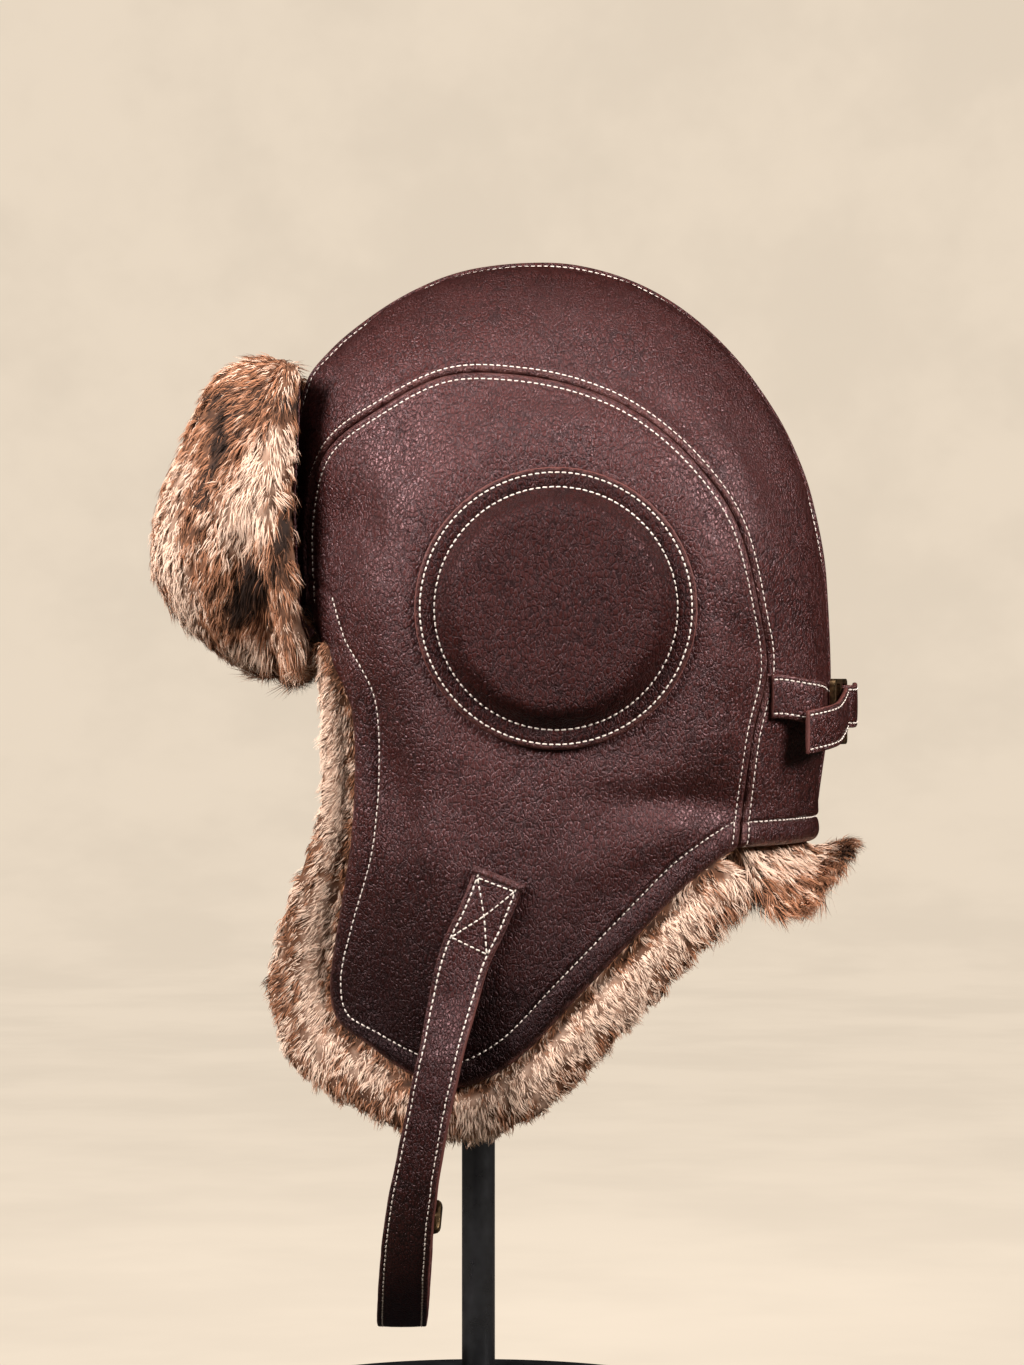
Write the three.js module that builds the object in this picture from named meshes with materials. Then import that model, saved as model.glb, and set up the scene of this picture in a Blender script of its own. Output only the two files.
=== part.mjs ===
// A leather flying helmet with a fur lining, held on a plain stand.
// Millimetres, +Z up. The face looks towards -Y and the wearer's left is +X.
// The origin is the centre of the underside of the stand's base.
// Helmet shapes are worked out round the ear centre: y runs back from it and z runs up from it.
import * as THREE from "three";

// Sizes of the leather shell
const crownLength = 215.5; // forehead to back of the head, over the leather
const crownWidth = 180; // over the leather, above the ears
const crownHeight = 140.7; // ear centre to the top seam
const flapDrop = 186; // ear centre to the tip of the ear flap
const napeDrop = 92; // ear centre to the hem at the nape
const flapLean = 8; // how far the flap's tip leans in
const leather = 1.5; // thickness of one layer
const hemWidth = 10; // edge to the hem's stitching
const hemPuff = 1.2; // how far the turned hem stands out
const foldDepth = 3; // deepest fold of the side panels
const roundness = 2.5; // exponent of the shell's oval, where 2 is an ellipse

// Sizes of the ear discs
const discRadius = 54.5;
const padRadius = 45.5; // foot of the padded middle
const padHeight = 8;
const earPlaneInset = 2; // the side is flat under the disc, this far inside the widest oval
const earBlend = 34; // width of the ring where the flat side turns into the oval

// Sizes of the fur
const furDepth = 10; // lining, over the skin
const furReach = 18; // how far the lining stands out past the leather edge
const lockShare = 0.14; // how much the locks vary the reach
const napeBand = 42; // height of the lining at the nape
const bulge = 60; // how far the turned-up forehead flap stands out
const flapRise = 104; // ear centre to the top of the forehead flap
const flapHalfWidth = 58; // half of the forehead flap's width, across the forehead
const flapFlatness = 0.75; // how closely the flap follows the curve of the forehead, 1 being fully
const foldDrop = 14; // how much lower the flap's fold lies at its ends
const cornerDrop = 7; // how much lower the flap's top lies at its ends
const lockRelief = 2; // relief of the locks on the forehead flap
const flapSeam = 6; // height of the strip by which the forehead flap is sewn on

// Sizes of the straps and of their metal
const strapWidth = 20;
const strapThickness = 2.6; // two layers
const strapLift = 0.5; // chin strap off the leather where it is sewn
const loopDrop = 288; // ear centre to the lowest point of the chin strap
const claspLength = 16;
const claspWidth = 24;
const claspThickness = 3;
const backStrapWidth = 17;
const backStrapThickness = 2;
const backStrapDrop = 36; // ear centre to the middle of the back strap
const buckleOffset = 36; // middle plane to the buckle's middle, along the strap
const buckleLength = 21;
const buckleHeight = 26;
const buckleWall = 2.2;
const buckleStandOff = 6; // leather to the middle of the buckle's plate
const freeEnd = 31; // length of the doubled strap that shows past the buckle
const freeEndDrop = 12; // how much lower the free end hangs than the strap's line
const foldTail = 11; // length of the strap that is folded back over the buckle's far bar

// Sizes of the stand
const postRadius = 6.7;
const postForward = 30.5; // ear centre to the post's axis
const baseRadius = 95;
const baseThickness = 8;
const domeRadius = 60; // radius of the ball that the domed head is cut from
const domeHalfWidth = 44;
const domeRim = 3;
const floorClearance = 26; // chin strap to the top of the base

const claspPlace = 14; // place of the chin strap, counted from the left flap, where its two lengths meet

// Gaps between separate pieces
const gap = 0.4;
const seamGap = 0.4;
const liningGap = 0.7;

const halfLength = crownLength / 2;
const halfWidth = crownWidth / 2;
const sheet = leather + liningGap; // from the leather's face to the lining's face

// The shell seen from the side: front and back of its oval at each height.
// z is a share of crownHeight, front and back are shares of halfLength.
const profile = [
  { z: 1.0, front: -0.037, back: -0.037 },
  { z: 0.98, front: -0.314, back: 0.162 },
  { z: 0.928, front: -0.503, back: 0.348 },
  { z: 0.842, front: -0.69, back: 0.524 },
  { z: 0.749, front: -0.835, back: 0.654 },
  { z: 0.663, front: -0.921, back: 0.747 },
  { z: 0.496, front: -0.966, back: 0.881 },
  { z: 0.323, front: -0.97, back: 0.965 },
  { z: 0.092, front: -0.965, back: 1.018 },
  { z: -0.223, front: -0.95, back: 1.034 },
  { z: -0.511, front: -0.94, back: 0.993 },
  { z: -0.64, front: -0.94, back: 0.974 },
  { z: -1.4, front: -0.94, back: 0.9 },
];

// The seam between crown and side, from the forehead over the ear to the nape.
// y is a share of halfLength, up of crownHeight and down of napeDrop.
const sideSeam = [
  { y: -0.905, up: 0.015, down: 0 },
  { y: -0.916, up: 0.24, down: 0 },
  { y: -0.845, up: 0.44, down: 0 },
  { y: -0.63, up: 0.565, down: 0 },
  { y: -0.4, up: 0.65, down: 0 },
  { y: -0.158, up: 0.654, down: 0 },
  { y: 0.084, up: 0.618, down: 0 },
  { y: 0.298, up: 0.544, down: 0 },
  { y: 0.503, up: 0.409, down: 0 },
  { y: 0.659, up: 0.235, down: 0 },
  { y: 0.745, up: 0, down: 0.02 },
  { y: 0.77, up: 0, down: 0.27 },
  { y: 0.714, up: 0, down: 0.56 },
  { y: 0.664, up: 0, down: 1.01 },
];

// The lower edge of the side panel, from the forehead round the flap to the nape.
// y is a share of halfLength and down of flapDrop.
const flapEdge = [
  { y: -0.905, down: -0.011 },
  { y: -0.85, down: 0.085 },
  { y: -0.752, down: 0.195 },
  { y: -0.733, down: 0.325 },
  { y: -0.747, down: 0.485 },
  { y: -0.789, down: 0.65 },
  { y: -0.82, down: 0.79 },
  { y: -0.79, down: 0.868 },
  { y: -0.68, down: 0.915 },
  { y: -0.53, down: 0.972 },
  { y: -0.39, down: 1.0 },
  { y: -0.26, down: 0.982 },
  { y: -0.11, down: 0.925 },
  { y: 0.075, down: 0.812 },
  { y: 0.28, down: 0.69 },
  { y: 0.465, down: 0.582 },
  { y: 0.575, down: 0.532 },
  { y: 0.664, down: 0.4995 },
];

// Folds and dents of the leather. y and long and wide are shares of halfLength, z of flapDrop,
// turn is the fold's angle from +y in degrees, deep a share of foldDepth, and plus is outwards.
const folds = [
  { name: "ridge below the disc", y: -0.47, z: -0.37, turn: 95, long: 0.36, wide: 0.09, deep: 0.9 },
  { name: "trough before the ridge", y: -0.6, z: -0.34, turn: 100, long: 0.3, wide: 0.07, deep: -0.6 },
  { name: "dent at the temple", y: -0.66, z: 0.17, turn: -28, long: 0.2, wide: 0.1, deep: -1 },
  { name: "ridge at the cheek", y: -0.7, z: -0.03, turn: -50, long: 0.26, wide: 0.1, deep: 0.8 },
  { name: "crease behind the disc", y: 0.62, z: -0.04, turn: -42, long: 0.16, wide: 0.06, deep: -0.9 },
  { name: "swell below the crease", y: 0.48, z: -0.24, turn: -30, long: 0.26, wide: 0.13, deep: 0.9 },
  { name: "crease over the nape", y: 0.42, z: -0.4, turn: -4, long: 0.34, wide: 0.07, deep: -0.9 },
  { name: "swell at the hem", y: 0.28, z: -0.5, turn: 20, long: 0.26, wide: 0.09, deep: 0.6 },
  { name: "trough in the flap", y: -0.64, z: -0.74, turn: 95, long: 0.3, wide: 0.08, deep: -0.8 },
  { name: "swell under the strap", y: -0.36, z: -0.66, turn: 105, long: 0.4, wide: 0.12, deep: 0.5 },
  { name: "ridge along the back seam", y: 0.74, z: 0.2, turn: -64, long: 0.42, wide: 0.07, deep: 0.8 },
  { name: "trough behind that ridge", y: 0.85, z: 0.2, turn: -66, long: 0.4, wide: 0.06, deep: -0.5 },
];

// How far the lining stands out along the flap's edge. at is a share of the edge's length from the forehead.
const fringe = [
  { at: 0, reach: 0.5 },
  { at: 0.08, reach: 0.8 },
  { at: 0.22, reach: 0.8 },
  { at: 0.31, reach: 1.15 },
  { at: 0.38, reach: 1.5 },
  { at: 0.45, reach: 1.7 },
  { at: 0.53, reach: 1.3 },
  { at: 0.62, reach: 1.25 },
  { at: 0.8, reach: 1.25 },
  { at: 1, reach: 1.15 },
];

// Section of the forehead flap at its middle, from under the fold to the top.
// Out is a share of bulge from the leather of the crown, z a share of flapRise.
const flapSection = [
  { furOut: -0.1, furZ: -0.2, backOut: 0.012, backZ: -0.015 },
  { furOut: 0.12, furZ: -0.275, backOut: 0.08, backZ: -0.035 },
  { furOut: 0.4, furZ: -0.225, backOut: 0.2, backZ: -0.05 },
  { furOut: 0.7, furZ: -0.1, backOut: 0.38, backZ: -0.02 },
  { furOut: 0.93, furZ: 0.055, backOut: 0.56, backZ: 0.1 },
  { furOut: 1.0, furZ: 0.25, backOut: 0.61, backZ: 0.28 },
  { furOut: 0.935, furZ: 0.43, backOut: 0.57, backZ: 0.46 },
  { furOut: 0.8, furZ: 0.61, backOut: 0.44, backZ: 0.63 },
  { furOut: 0.67, furZ: 0.81, backOut: 0.3, backZ: 0.79 },
  { furOut: 0.5, furZ: 0.975, backOut: 0.14, backZ: 0.91 },
  { furOut: 0.15, furZ: 1.0, backOut: 0.03, backZ: 0.955 },
];

// The chin strap's middle line on one side, from the flap down to the lowest point of the loop.
// y is a share of halfLength, x of halfWidth, down of loopDrop, and turn twists the strap about its own line.
// Where it is sewn, the strap lies on the leather.
const chinRoute = [
  { y: -0.205, sewn: true, down: 0.362, turn: 0 },
  { y: -0.258, sewn: true, down: 0.412, turn: 0 },
  { y: -0.322, sewn: true, down: 0.465, turn: 4 },
  { y: -0.375, x: 0.985, down: 0.53, turn: 20 },
  { y: -0.42, x: 1.055, down: 0.6, turn: 32 },
  { y: -0.46, x: 1.06, down: 0.67, turn: 36 },
  { y: -0.495, x: 1.03, down: 0.74, turn: 34 },
  { y: -0.525, x: 0.95, down: 0.81, turn: 26 },
  { y: -0.545, x: 0.8, down: 0.88, turn: 16 },
  { y: -0.558, x: 0.55, down: 0.95, turn: 6 },
  { y: -0.565, x: 0.27, down: 0.99, turn: 0 },
  { y: -0.567, x: 0, down: 1, turn: 0 },
];

const { abs, asin, cos, exp, hypot, max, min, PI, round, sign, sin, sqrt } = Math;
const vec = (x, y, z) => new THREE.Vector3(x, y, z);
const mix = (a, b, t) => a + (b - a) * t;
const smooth = (t) => {
  const s = min(1, max(0, t));
  return s * s * (3 - 2 * s);
};

// A column of a table at a value of its key, as a smooth curve that doesn't overshoot.
function column(rows, key, name, at) {
  const ordered = rows.map((r) => [key(r), r[name]]).sort((a, b) => a[0] - b[0]);
  const last = ordered.length - 1;
  const i = min(last - 1, max(0, ordered.findIndex((r) => r[0] > at) - 1 + (at >= ordered[last][0] ? last + 1 : 0)));
  const slope = (k) => (ordered[k + 1][1] - ordered[k][1]) / (ordered[k + 1][0] - ordered[k][0]);
  const tangent = (k) => {
    if (k === 0) return slope(0);
    if (k === last) return slope(last - 1);
    const [a, b] = [slope(k - 1), slope(k)];
    return a * b <= 0 ? 0 : (2 * a * b) / (a + b);
  };
  const step = ordered[i + 1][0] - ordered[i][0];
  const t = min(1, max(0, (at - ordered[i][0]) / step));
  const [t2, t3] = [t * t, t * t * t];
  return (
    (2 * t3 - 3 * t2 + 1) * ordered[i][1] +
    (t3 - 2 * t2 + t) * step * tangent(i) +
    (3 * t2 - 2 * t3) * ordered[i + 1][1] +
    (t3 - t2) * step * tangent(i + 1)
  );
}

// Heights near the top are spread by their angle, because the shell is flat there.
const lift = (share) => (share > 0 ? asin(min(1, share)) : share);
const frontAt = (z) => halfLength * column(profile, (r) => lift(r.z), "front", lift(z / crownHeight));
const backAt = (z) => halfLength * column(profile, (r) => lift(r.z), "back", lift(z / crownHeight));

// Half of the shell's width at a height.
function widthAt(z) {
  if (z <= 0) return halfWidth - flapLean * (-z / flapDrop) ** 1.5;
  return halfWidth * max(0, 1 - (z / crownHeight) ** 2.3) ** 0.476;
}

function foldAt(y, z) {
  let sum = 0;
  for (const f of folds) {
    const a = (f.turn * PI) / 180;
    const [dy, dz] = [y - f.y * halfLength, z - f.z * flapDrop];
    const along = (dy * cos(a) + dz * sin(a)) / (f.long * halfLength);
    const across = (dz * cos(a) - dy * sin(a)) / (f.wide * halfLength);
    sum += f.deep * foldDepth * exp(-(along ** 4) - across ** 2);
  }
  return sum;
}

// How far the leather's outer face stands from the middle plane, at a place seen from the side.
function faceX(y, z) {
  const [front, back] = [frontAt(z), backAt(z)];
  const half = (back - front) / 2;
  if (z >= crownHeight || half <= 0) return 0;
  const oval = widthAt(z) * max(0, 1 - abs((y - (front + back) / 2) / half) ** roundness) ** (1 / roundness);
  const flat = 1 - smooth((hypot(y, z) - discRadius - 2) / earBlend);
  const calm = 1 - flat;
  return mix(oval, halfWidth - earPlaneInset, flat) + foldAt(y, z) * calm;
}

const facePoint = (y, z) => vec(faceX(y, z), y, z);

function faceNormal(y, z) {
  const d = 0.5;
  const slopeY = (faceX(y + d, z) - faceX(y - d, z)) / (2 * d);
  const slopeZ = (faceX(y, z + d) - faceX(y, z - d)) / (2 * d);
  return vec(1, -slopeY, -slopeZ).normalize();
}

const under = (y, z, depth) => facePoint(y, z).addScaledVector(faceNormal(y, z), -depth);

// A closed wall between two grids of points with the same rows and columns.
function slab(outer, inner) {
  const [rows, columns] = [outer.length, outer[0].length];
  const position = [...outer.flat(), ...inner.flat()].flatMap((p) => [p.x, p.y, p.z]);
  const at = (side, i, j) => side * rows * columns + i * columns + j;
  const index = [];
  const quad = (a, b, c, d) => index.push(a, b, c, a, c, d);
  for (let i = 0; i < rows - 1; i++)
    for (let j = 0; j < columns - 1; j++) {
      quad(at(0, i, j), at(0, i + 1, j), at(0, i + 1, j + 1), at(0, i, j + 1));
      quad(at(1, i, j), at(1, i, j + 1), at(1, i + 1, j + 1), at(1, i + 1, j));
    }
  for (let i = 0; i < rows - 1; i++) {
    quad(at(0, i, 0), at(1, i, 0), at(1, i + 1, 0), at(0, i + 1, 0));
    quad(at(0, i, columns - 1), at(0, i + 1, columns - 1), at(1, i + 1, columns - 1), at(1, i, columns - 1));
  }
  for (let j = 0; j < columns - 1; j++) {
    quad(at(0, 0, j), at(0, 0, j + 1), at(1, 0, j + 1), at(1, 0, j));
    quad(at(0, rows - 1, j), at(1, rows - 1, j), at(1, rows - 1, j + 1), at(0, rows - 1, j + 1));
  }
  return body(position, index);
}

// A closed wall over rings that run round a middle point.
function dish(outer, inner, outerMiddle, innerMiddle) {
  const [rings, n] = [outer.length, outer[0].length];
  const position = [...outer.flat(), ...inner.flat(), outerMiddle, innerMiddle].flatMap((p) => [p.x, p.y, p.z]);
  const at = (side, i, j) => side * rings * n + i * n + (j % n);
  const middle = (side) => 2 * rings * n + side;
  const index = [];
  for (let j = 0; j < n; j++) {
    for (let i = 0; i < rings - 1; i++) {
      index.push(at(0, i, j), at(0, i + 1, j), at(0, i + 1, j + 1), at(0, i, j), at(0, i + 1, j + 1), at(0, i, j + 1));
      index.push(at(1, i, j), at(1, i + 1, j + 1), at(1, i + 1, j), at(1, i, j), at(1, i, j + 1), at(1, i + 1, j + 1));
    }
    index.push(at(0, rings - 1, j), middle(0), at(0, rings - 1, j + 1));
    index.push(at(1, rings - 1, j), at(1, rings - 1, j + 1), middle(1));
    index.push(at(0, 0, j), at(0, 0, j + 1), at(1, 0, j + 1), at(0, 0, j), at(1, 0, j + 1), at(1, 0, j));
  }
  return body(position, index);
}

// A geometry whose faces point out, whichever way round its triangles were listed.
function body(position, index) {
  let volume = 0;
  const p = (i) => vec(position[3 * i], position[3 * i + 1], position[3 * i + 2]);
  for (let i = 0; i < index.length; i += 3)
    volume += p(index[i]).dot(p(index[i + 1]).cross(p(index[i + 2])));
  if (volume < 0) for (let i = 0; i < index.length; i += 3) [index[i], index[i + 1]] = [index[i + 1], index[i]];
  const geometry = new THREE.BufferGeometry();
  geometry.setAttribute("position", new THREE.Float32BufferAttribute(position, 3));
  geometry.setIndex(index);
  geometry.computeVertexNormals();
  return geometry;
}

function mirrored(geometry) {
  const position = Array.from(geometry.getAttribute("position").array);
  for (let i = 0; i < position.length; i += 3) position[i] = -position[i];
  return body(position, Array.from(geometry.index.array));
}

// Curves of the side view

const curveOf = (points) => {
  const curve = new THREE.SplineCurve(points);
  curve.arcLengthDivisions = 400;
  return curve;
};
const seamCurve = curveOf(
  sideSeam.map((r) => new THREE.Vector2(r.y * halfLength, r.up * crownHeight - r.down * napeDrop)),
);
const edgeCurve = curveOf(flapEdge.map((r) => new THREE.Vector2(r.y * halfLength, -r.down * flapDrop)));

// The centre seam, from the forehead over the top to the nape.
const seamFoot = sideSeam[0].up * crownHeight;
const outlineSteps = 120;
const centrePoints = [];
const lowLift = lift(seamFoot / crownHeight);
const heightOf = (a) => crownHeight * (a > 0 ? sin(a) : a);
for (let i = 0; i <= outlineSteps; i++) {
  const z = heightOf(mix(lowLift, PI / 2, i / outlineSteps));
  centrePoints.push(new THREE.Vector2(frontAt(z), z));
}
for (let i = 1; i <= outlineSteps; i++) {
  const z = heightOf(mix(PI / 2, lift(-napeDrop / crownHeight), i / outlineSteps));
  centrePoints.push(new THREE.Vector2(backAt(z), z));
}
const centreCurve = curveOf(centrePoints);
const centreLength = centreCurve.getLength();

// The place on the side seam that lies across from a place on the centre seam.
const acrossFrom = (u) => u - 0.055 * sin(PI * u) ** 0.8;

// A point of the crown's outer face: u runs from forehead to nape, t from the centre seam to the side seam.
function crownPoint(u, t) {
  const top = centreCurve.getPointAt(min(1, max(0, u)));
  const side = seamCurve.getPointAt(min(1, max(0, acrossFrom(u))));
  const w = t ** 2.2;
  const [y, z] = [mix(top.x, side.x, w), mix(top.y, side.y, w)];
  return vec(t === 0 ? 0 : faceX(y, z), y, z);
}

function crownNormal(u, t) {
  const d = 0.004;
  const [u0, u1] = [max(0, u - d), min(1, u + d)];
  const [t0, t1] = [max(0, t - d), min(1, t + d)];
  const along = crownPoint(u1, t).sub(crownPoint(u0, t));
  const across = crownPoint(u, t1).sub(crownPoint(u, t0));
  const n = across.cross(along).normalize();
  return t === 0 ? n.setX(0).normalize() : n;
}

const crownUnder = (u, t, depth) => crownPoint(u, t).addScaledVector(crownNormal(u, t), -depth);

// Stations along the centre seam, closer together at the nape's hem.
const crownSteps = 24;
const hemStart = 1 - hemWidth / centreLength;
const crownStations = [
  ...Array.from({ length: crownSteps + 1 }, (_, i) => (hemStart * i) / crownSteps),
  (1 + hemStart) / 2,
  1,
];
const crownColumns = 5;

function crownPanel() {
  const rows = (depth) =>
    crownStations.map((u, i) => {
      const puffed = depth === 0 && i === crownStations.length - 2 ? -hemPuff : 0;
      return Array.from({ length: crownColumns + 1 }, (_, j) => {
        const p = crownUnder(u, j / crownColumns, depth + puffed);
        if (j === 0) p.x = seamGap / 2;
        if (j < crownColumns) return p;
        const inward = crownUnder(u, 1 - 0.02, depth + puffed).sub(p).normalize();
        return p.addScaledVector(inward, seamGap / 2);
      });
    });
  return slab(rows(0), rows(leather));
}

// The side panel's edge as seen from the side: the seam's stations, then the flap's edge back to the forehead.
const flapSteps = 24;
const seamStations = crownStations.map((u) => seamCurve.getPointAt(min(1, max(0, acrossFrom(u)))));
const edgeStations = Array.from({ length: flapSteps - 1 }, (_, i) =>
  edgeCurve.getPointAt(1 - (i + 1) / flapSteps),
);
const panelLoop = [...seamStations, ...edgeStations];

// The loop moved inwards by a distance, with its corners kept.
function insetLoop(distance) {
  const n = panelLoop.length;
  return panelLoop.map((p, i) => {
    const before = p.clone().sub(panelLoop[(i + n - 1) % n]).normalize();
    const after = panelLoop[(i + 1) % n].clone().sub(p).normalize();
    const inBefore = new THREE.Vector2(before.y, -before.x);
    const inAfter = new THREE.Vector2(after.y, -after.x);
    const normal = inBefore.add(inAfter).normalize();
    const corner = max(0.62, normal.dot(inAfter));
    return p.clone().addScaledVector(normal, distance / corner);
  });
}

const discLoop = (radius) => panelLoop.map((p) => p.clone().normalize().multiplyScalar(radius));

// Rings of the side panel from its edge to the ear centre, with how far each stands out on the hem.
function sideRings() {
  const edge = insetLoop(seamGap / 2);
  const hem = insetLoop(hemWidth);
  const disc = discLoop(discRadius + 1);
  const between = (t) => hem.map((p, i) => p.clone().lerp(disc[i], t));
  return [
    { loop: edge, puff: 0 },
    { loop: insetLoop(hemWidth / 2), puff: hemPuff },
    { loop: hem, puff: -hemPuff / 4 },
    ...[0.2, 0.4, 0.6, 0.8, 1].map((t) => ({ loop: between(t), puff: 0 })),
    { loop: discLoop(discRadius / 2), puff: 0 },
  ];
}

function sidePanel() {
  const rings = sideRings();
  const seamCount = seamStations.length;
  const outer = rings.map(({ loop, puff }) =>
    loop.map((p, i) => under(p.x, p.y, i < seamCount ? -puff / 3 : -puff)),
  );
  const inner = rings.map(({ loop }) => loop.map((p) => under(p.x, p.y, leather)));
  return dish(outer, inner, under(0, 0, 0), under(0, 0, leather));
}

function earDisc() {
  const rim = leather * 1.2;
  const rise = padHeight;
  const profileOf = [
    [0, 0],
    [discRadius, 0],
    [discRadius, rim],
    [padRadius + 2, rim],
    [padRadius, rim + 0.1 * rise],
    [padRadius * 0.95, rim + 0.45 * rise],
    [padRadius * 0.88, rim + 0.8 * rise],
    [padRadius * 0.76, rim + 0.95 * rise],
    [padRadius * 0.45, rim + rise],
    [0, rim + 1.02 * rise],
  ].map(([r, h]) => new THREE.Vector2(r, h));
  const geometry = new THREE.LatheGeometry(profileOf, 26);
  geometry.deleteAttribute("uv");
  geometry.rotateZ(-PI / 2); // the lathe's axis becomes +X
  geometry.translate(halfWidth - earPlaneInset + gap, 0, 0);
  return geometry;
}

// A point of a ring at a place between its stations.
function between(points, q) {
  const k = Math.floor(q);
  return points[k % points.length].clone().lerp(points[(k + 1) % points.length], q - k);
}

// Fur of the flap: its skin lies under the leather's own facets, and its edge stands out in locks.
function flapFur() {
  const rings = sideRings().map((r) => r.loop);
  const skin = [rings[7], rings[5], rings[2], rings[0]];
  const corner = seamStations.length - 1;
  const last = corner + round(0.93 * flapSteps);
  const places = [corner + 0.22];
  for (let q = corner + 1; q <= last; q += 0.5) places.push(q);
  const at = (loop, depth, q) => between(loop.map((p) => under(p.x, p.y, depth)), q);
  const roots = rings[0].map((p) => facePoint(p.x, p.y));
  const normals = rings[0].map((p) => faceNormal(p.x, p.y));
  const depths = [0.6, 1, 1, 1].map((d) => sheet + furDepth * d);
  const slack = [1.25, 1.25, 0.2, 0].map((d) => d * foldDepth); // clears the dents between the skin's rings
  const faces = skin.map((loop, k) => loop.map((p) => under(p.x, p.y, sheet + slack[k])));
  const backs = skin.map((loop, k) => loop.map((p) => under(p.x, p.y, depths[k] + slack[k])));
  const columns = places.map((q, i) => {
    const lock = i % 2 ? 1 + lockShare : 1 - lockShare;
    const along = between(roots, q + 0.5).sub(between(roots, q - 0.5)).normalize();
    const normal = between(normals, q).normalize();
    const flat = vec(0, along.z, -along.y).normalize();
    const skew = along.clone().cross(normal).normalize();
    const outward = flat.clone().multiplyScalar(flat.dot(between(roots, q)) > 0 ? 1 : -1);
    if (skew.dot(outward) < 0) skew.negate();
    const out = skew.lerp(outward, 0.75).normalize();
    const share = 1 - (q - corner) / flapSteps;
    const reach = furReach * lock * column(fringe, (r) => r.at, "reach", share);
    const root = between(roots, q);
    const place = (far, high) =>
      root.clone().addScaledVector(out, far).addScaledVector(normal, high).addScaledVector(along, 0.1 * far);
    return [
      [...faces.map((f) => between(f, q)), place(1.4, -sheet), place(0.55 * reach, 0), place(reach, -0.25 * furDepth)],
      [
        ...backs.map((f) => between(f, q)),
        place(1.4, -sheet - furDepth),
        place(0.55 * reach, -sheet - 0.9 * furDepth),
        place(0.98 * reach, -0.55 * furDepth),
      ],
    ];
  });
  const turned = (side) => columns[0][side].map((_, k) => columns.map((c) => c[side][k]));
  return slab(turned(0), turned(1));
}

// Fur of the nape, from one side seam round the back to the other.
function napeFur() {
  const rows = [1 - napeBand / centreLength, hemStart, (1 + hemStart) / 2, 1];
  const skin = (depth) => rows.map((u) => crownRow(u, (t) => crownUnder(u, t, depth)));
  const [faces, backs, roots] = [skin(sheet), skin(sheet + furDepth), crownRow(1, (t) => crownPoint(1, t))];
  const above = crownRow(0.985, (t) => crownPoint(0.985, t));
  const normals = crownRow(1, (t) => crownNormal(1, t));
  const columns = [];
  for (let q = 0.3; q <= 2 * crownColumns - 0.3 + 1e-6; q += q < 0.4 ? 0.2 : 0.5) {
    if (q > 2 * crownColumns - 0.4) q = 2 * crownColumns - 0.3;
    const lock = columns.length % 2 ? 1 + lockShare : 1 - lockShare;
    const [root, normal] = [between(roots, q), between(normals, q).normalize()];
    const down = root.clone().sub(between(above, q)).normalize();
    const out = down.lerp(normal, 0.58).normalize();
    const reach = furReach * 1.2 * lock;
    const place = (far, high) => root.clone().addScaledVector(out, far).addScaledVector(normal, high);
    columns.push([
      [...faces.map((f) => between(f, q)), place(1.4, -sheet), place(0.5 * reach, 0.4 * furDepth), place(reach, 0.3 * furDepth)],
      [
        ...backs.map((f) => between(f, q)),
        place(1.4, -sheet - furDepth),
        place(0.55 * reach, -sheet - 0.9 * furDepth),
        place(0.98 * reach, -0.2 * furDepth),
      ],
    ]);
  }
  const turned = (side) => columns[0][side].map((_, k) => columns.map((c) => c[side][k]));
  return slab(turned(0), turned(1));
}

// The crown's own stations across the head, from the right seam over the middle to the left one.
function crownRow(u, pointAt) {
  const half = Array.from({ length: crownColumns + 1 }, (_, j) => pointAt(j / crownColumns));
  const other = half.slice(1).map((p) => vec(-p.x, p.y, p.z));
  return [...other.reverse(), ...half];
}

// A place off the shell's front (side -1) or back (side 1), by its distance from the middle plane.
// follow says how closely the place keeps to the oval's curve, from 0 for a flat line to 1.
function offShell(side, x, z, out, follow = 1) {
  const [front, back] = [frontAt(z), backAt(z)];
  const [half, wide] = [(back - front) / 2, widthAt(z)];
  const across = (abs(x) * follow) / wide;
  const share = max(0, 1 - across ** roundness);
  const y = (front + back) / 2 + side * half * share ** (1 / roundness);
  const away = vec(
    (sign(x) * across ** (roundness - 1)) / wide,
    (side * share ** ((roundness - 1) / roundness)) / half,
    0,
  ).normalize();
  return vec(x, y, z).addScaledVector(away, out);
}

// A place in front of the forehead: s runs across it from -1 to 1.
function forehead(s, out, z) {
  const level = min(crownHeight / 2, max(z, seamFoot));
  const narrower = 1 - 0.1 * smooth(z / flapRise);
  return offShell(-1, flapHalfWidth * narrower * s, level, out, flapFlatness).setZ(z);
}

const flapStationsAcross = 18;
const flapEnd = (s) => smooth((abs(s) - 0.3) / 0.7); // 0 in the middle, 1 at the end

// The fur side of the forehead flap's leather, as distances off the crown and heights. The leather starts on the
// outside of the crown, just above its lower edge, goes down to the fold and bows out on its way up.
// At its ends the flap lies flatter, from the lowered fold to the rounded corner.
function flapLine(s) {
  const end = flapEnd(s);
  const rows = flapSection.map((row, i) => {
    const along = i / (flapSection.length - 1);
    const outEnd = i ? 0.07 + 0.02 * sin(PI * along) : 0;
    const zEnd = mix(-foldDrop, flapRise * 0.955 - cornerDrop, along);
    return { out: mix(row.backOut, outEnd, end) * bulge, z: mix(row.backZ * flapRise, zEnd, end) };
  });
  return [{ out: mix(gap, -0.05 * bulge, end), z: rows[0].z + flapSeam }, ...rows];
}

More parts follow.
